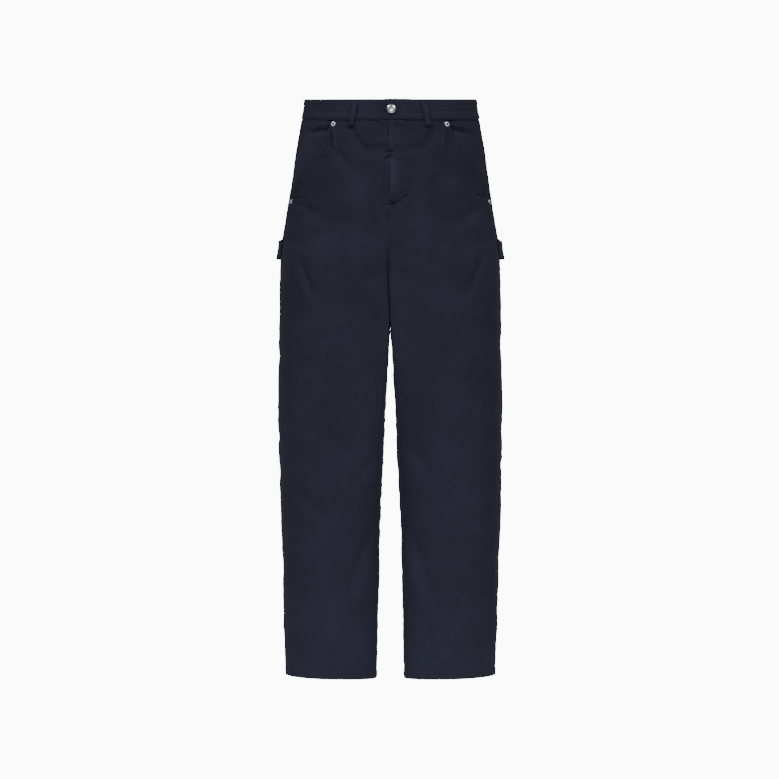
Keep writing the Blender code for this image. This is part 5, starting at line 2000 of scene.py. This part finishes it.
class TROUSERS_OT_patch_pockets(bpy.types.Operator):
    """Sew the patch pockets on the seat"""

    bl_idname = "trousers.patch_pockets"
    bl_label = "Patch pockets"

    def execute(self, context):
        for side in (1, -1):
            make_patch_pocket(side)
        return {"FINISHED"}


class TROUSERS_OT_sewing(bpy.types.Operator):
    """Turn every row of sewing into stitches"""

    bl_idname = "trousers.sewing"
    bl_label = "Sewing"

    def execute(self, context):
        for piece in SEWING:
            sewing_object(piece, navy_thread())
        return {"FINISHED"}


class TROUSERS_OT_trim(bpy.types.Operator):
    """Set the button and the rivets"""

    bl_idname = "trousers.trim"
    bl_label = "Metal trim"

    def execute(self, context):
        for row in RIVETS:
            make_rivet(*row)
        make_button()
        return {"FINISHED"}


class TROUSERS_OT_stage(bpy.types.Operator):
    """Make the floor, the light and the camera"""

    bl_idname = "trousers.stage"
    bl_label = "Stage"

    def execute(self, context):
        settings = context.scene.trouser_stage
        mesh = bpy.data.meshes.new("floor")
        shape = bmesh.new()
        bmesh.ops.create_circle(shape, cap_ends=True, segments=96, radius=14)
        shape.transform(Matrix.Translation((0, 0, settings.floor)))
        shape.to_mesh(mesh)
        shape.free()
        mesh.materials.append(stage_finish(settings.backdrop))
        floor = bpy.data.objects.new("floor", mesh)
        context.scene.collection.objects.link(floor)
        context.scene.world = studio_world(settings.backdrop, settings.ambient)
        middle = (0, 0, settings.camera_height)
        for name, place, size, share in LAMPS:
            add_light(name, place, size, share * settings.lamp_power, middle)
        camera = bpy.data.objects.new("camera", bpy.data.cameras.new("camera"))
        camera.data.sensor_width = 36
        camera.data.lens = settings.lens
        camera.location = (settings.camera_x, -settings.distance, settings.camera_height)
        camera.rotation_euler = (math.pi / 2, 0, 0)
        context.scene.collection.objects.link(camera)
        context.scene.camera = camera
        return {"FINISHED"}


STEPS = (
    TROUSERS_OT_panels,
    TROUSERS_OT_hips,
    TROUSERS_OT_fly,
    TROUSERS_OT_waistband,
    TROUSERS_OT_belt_loops,
    TROUSERS_OT_hammer_loops,
    TROUSERS_OT_patch_pockets,
    TROUSERS_OT_sewing,
    TROUSERS_OT_trim,
    TROUSERS_OT_stage,
)


class TROUSERS_PT_panel(bpy.types.Panel):
    """The steps that build the trousers, in order"""

    bl_idname = "TROUSERS_PT_panel"
    bl_label = "Carpenter trousers"
    bl_space_type = "VIEW_3D"
    bl_region_type = "UI"
    bl_category = "Trousers"

    def draw(self, context):
        for step in STEPS:
            self.layout.operator(step.bl_idname)
        for name in SETTINGS:
            settings = getattr(context.scene, name)
            for key in settings.bl_rna.properties.keys():
                if key not in {"rna_type", "name"}:
                    self.layout.prop(settings, key)


SETTINGS = {
    "trouser_cloth": TrouserCloth,
    "trouser_sewing": TrouserSewing,
    "trouser_trim": TrouserTrim,
    "trouser_stage": TrouserStage,
}


def register():
    """Makes the settings, the steps and the sidebar panel known."""
    for name, group in SETTINGS.items():
        bpy.utils.register_class(group)
        setattr(bpy.types.Scene, name, PointerProperty(type=group))
    for step in (*STEPS, TROUSERS_PT_panel):
        bpy.utils.register_class(step)


def unregister():
    """Takes them away again."""
    for step in reversed((*STEPS, TROUSERS_PT_panel)):
        bpy.utils.unregister_class(step)
    for name, group in reversed(SETTINGS.items()):
        delattr(bpy.types.Scene, name)
        bpy.utils.unregister_class(group)


def main():
    """Builds the trousers step by step."""
    register()
    for step in STEPS:
        getattr(bpy.ops.trousers, step.bl_idname.split(".")[1])()
    bpy.context.view_layer.update()


if __name__ == "__main__":
    main()
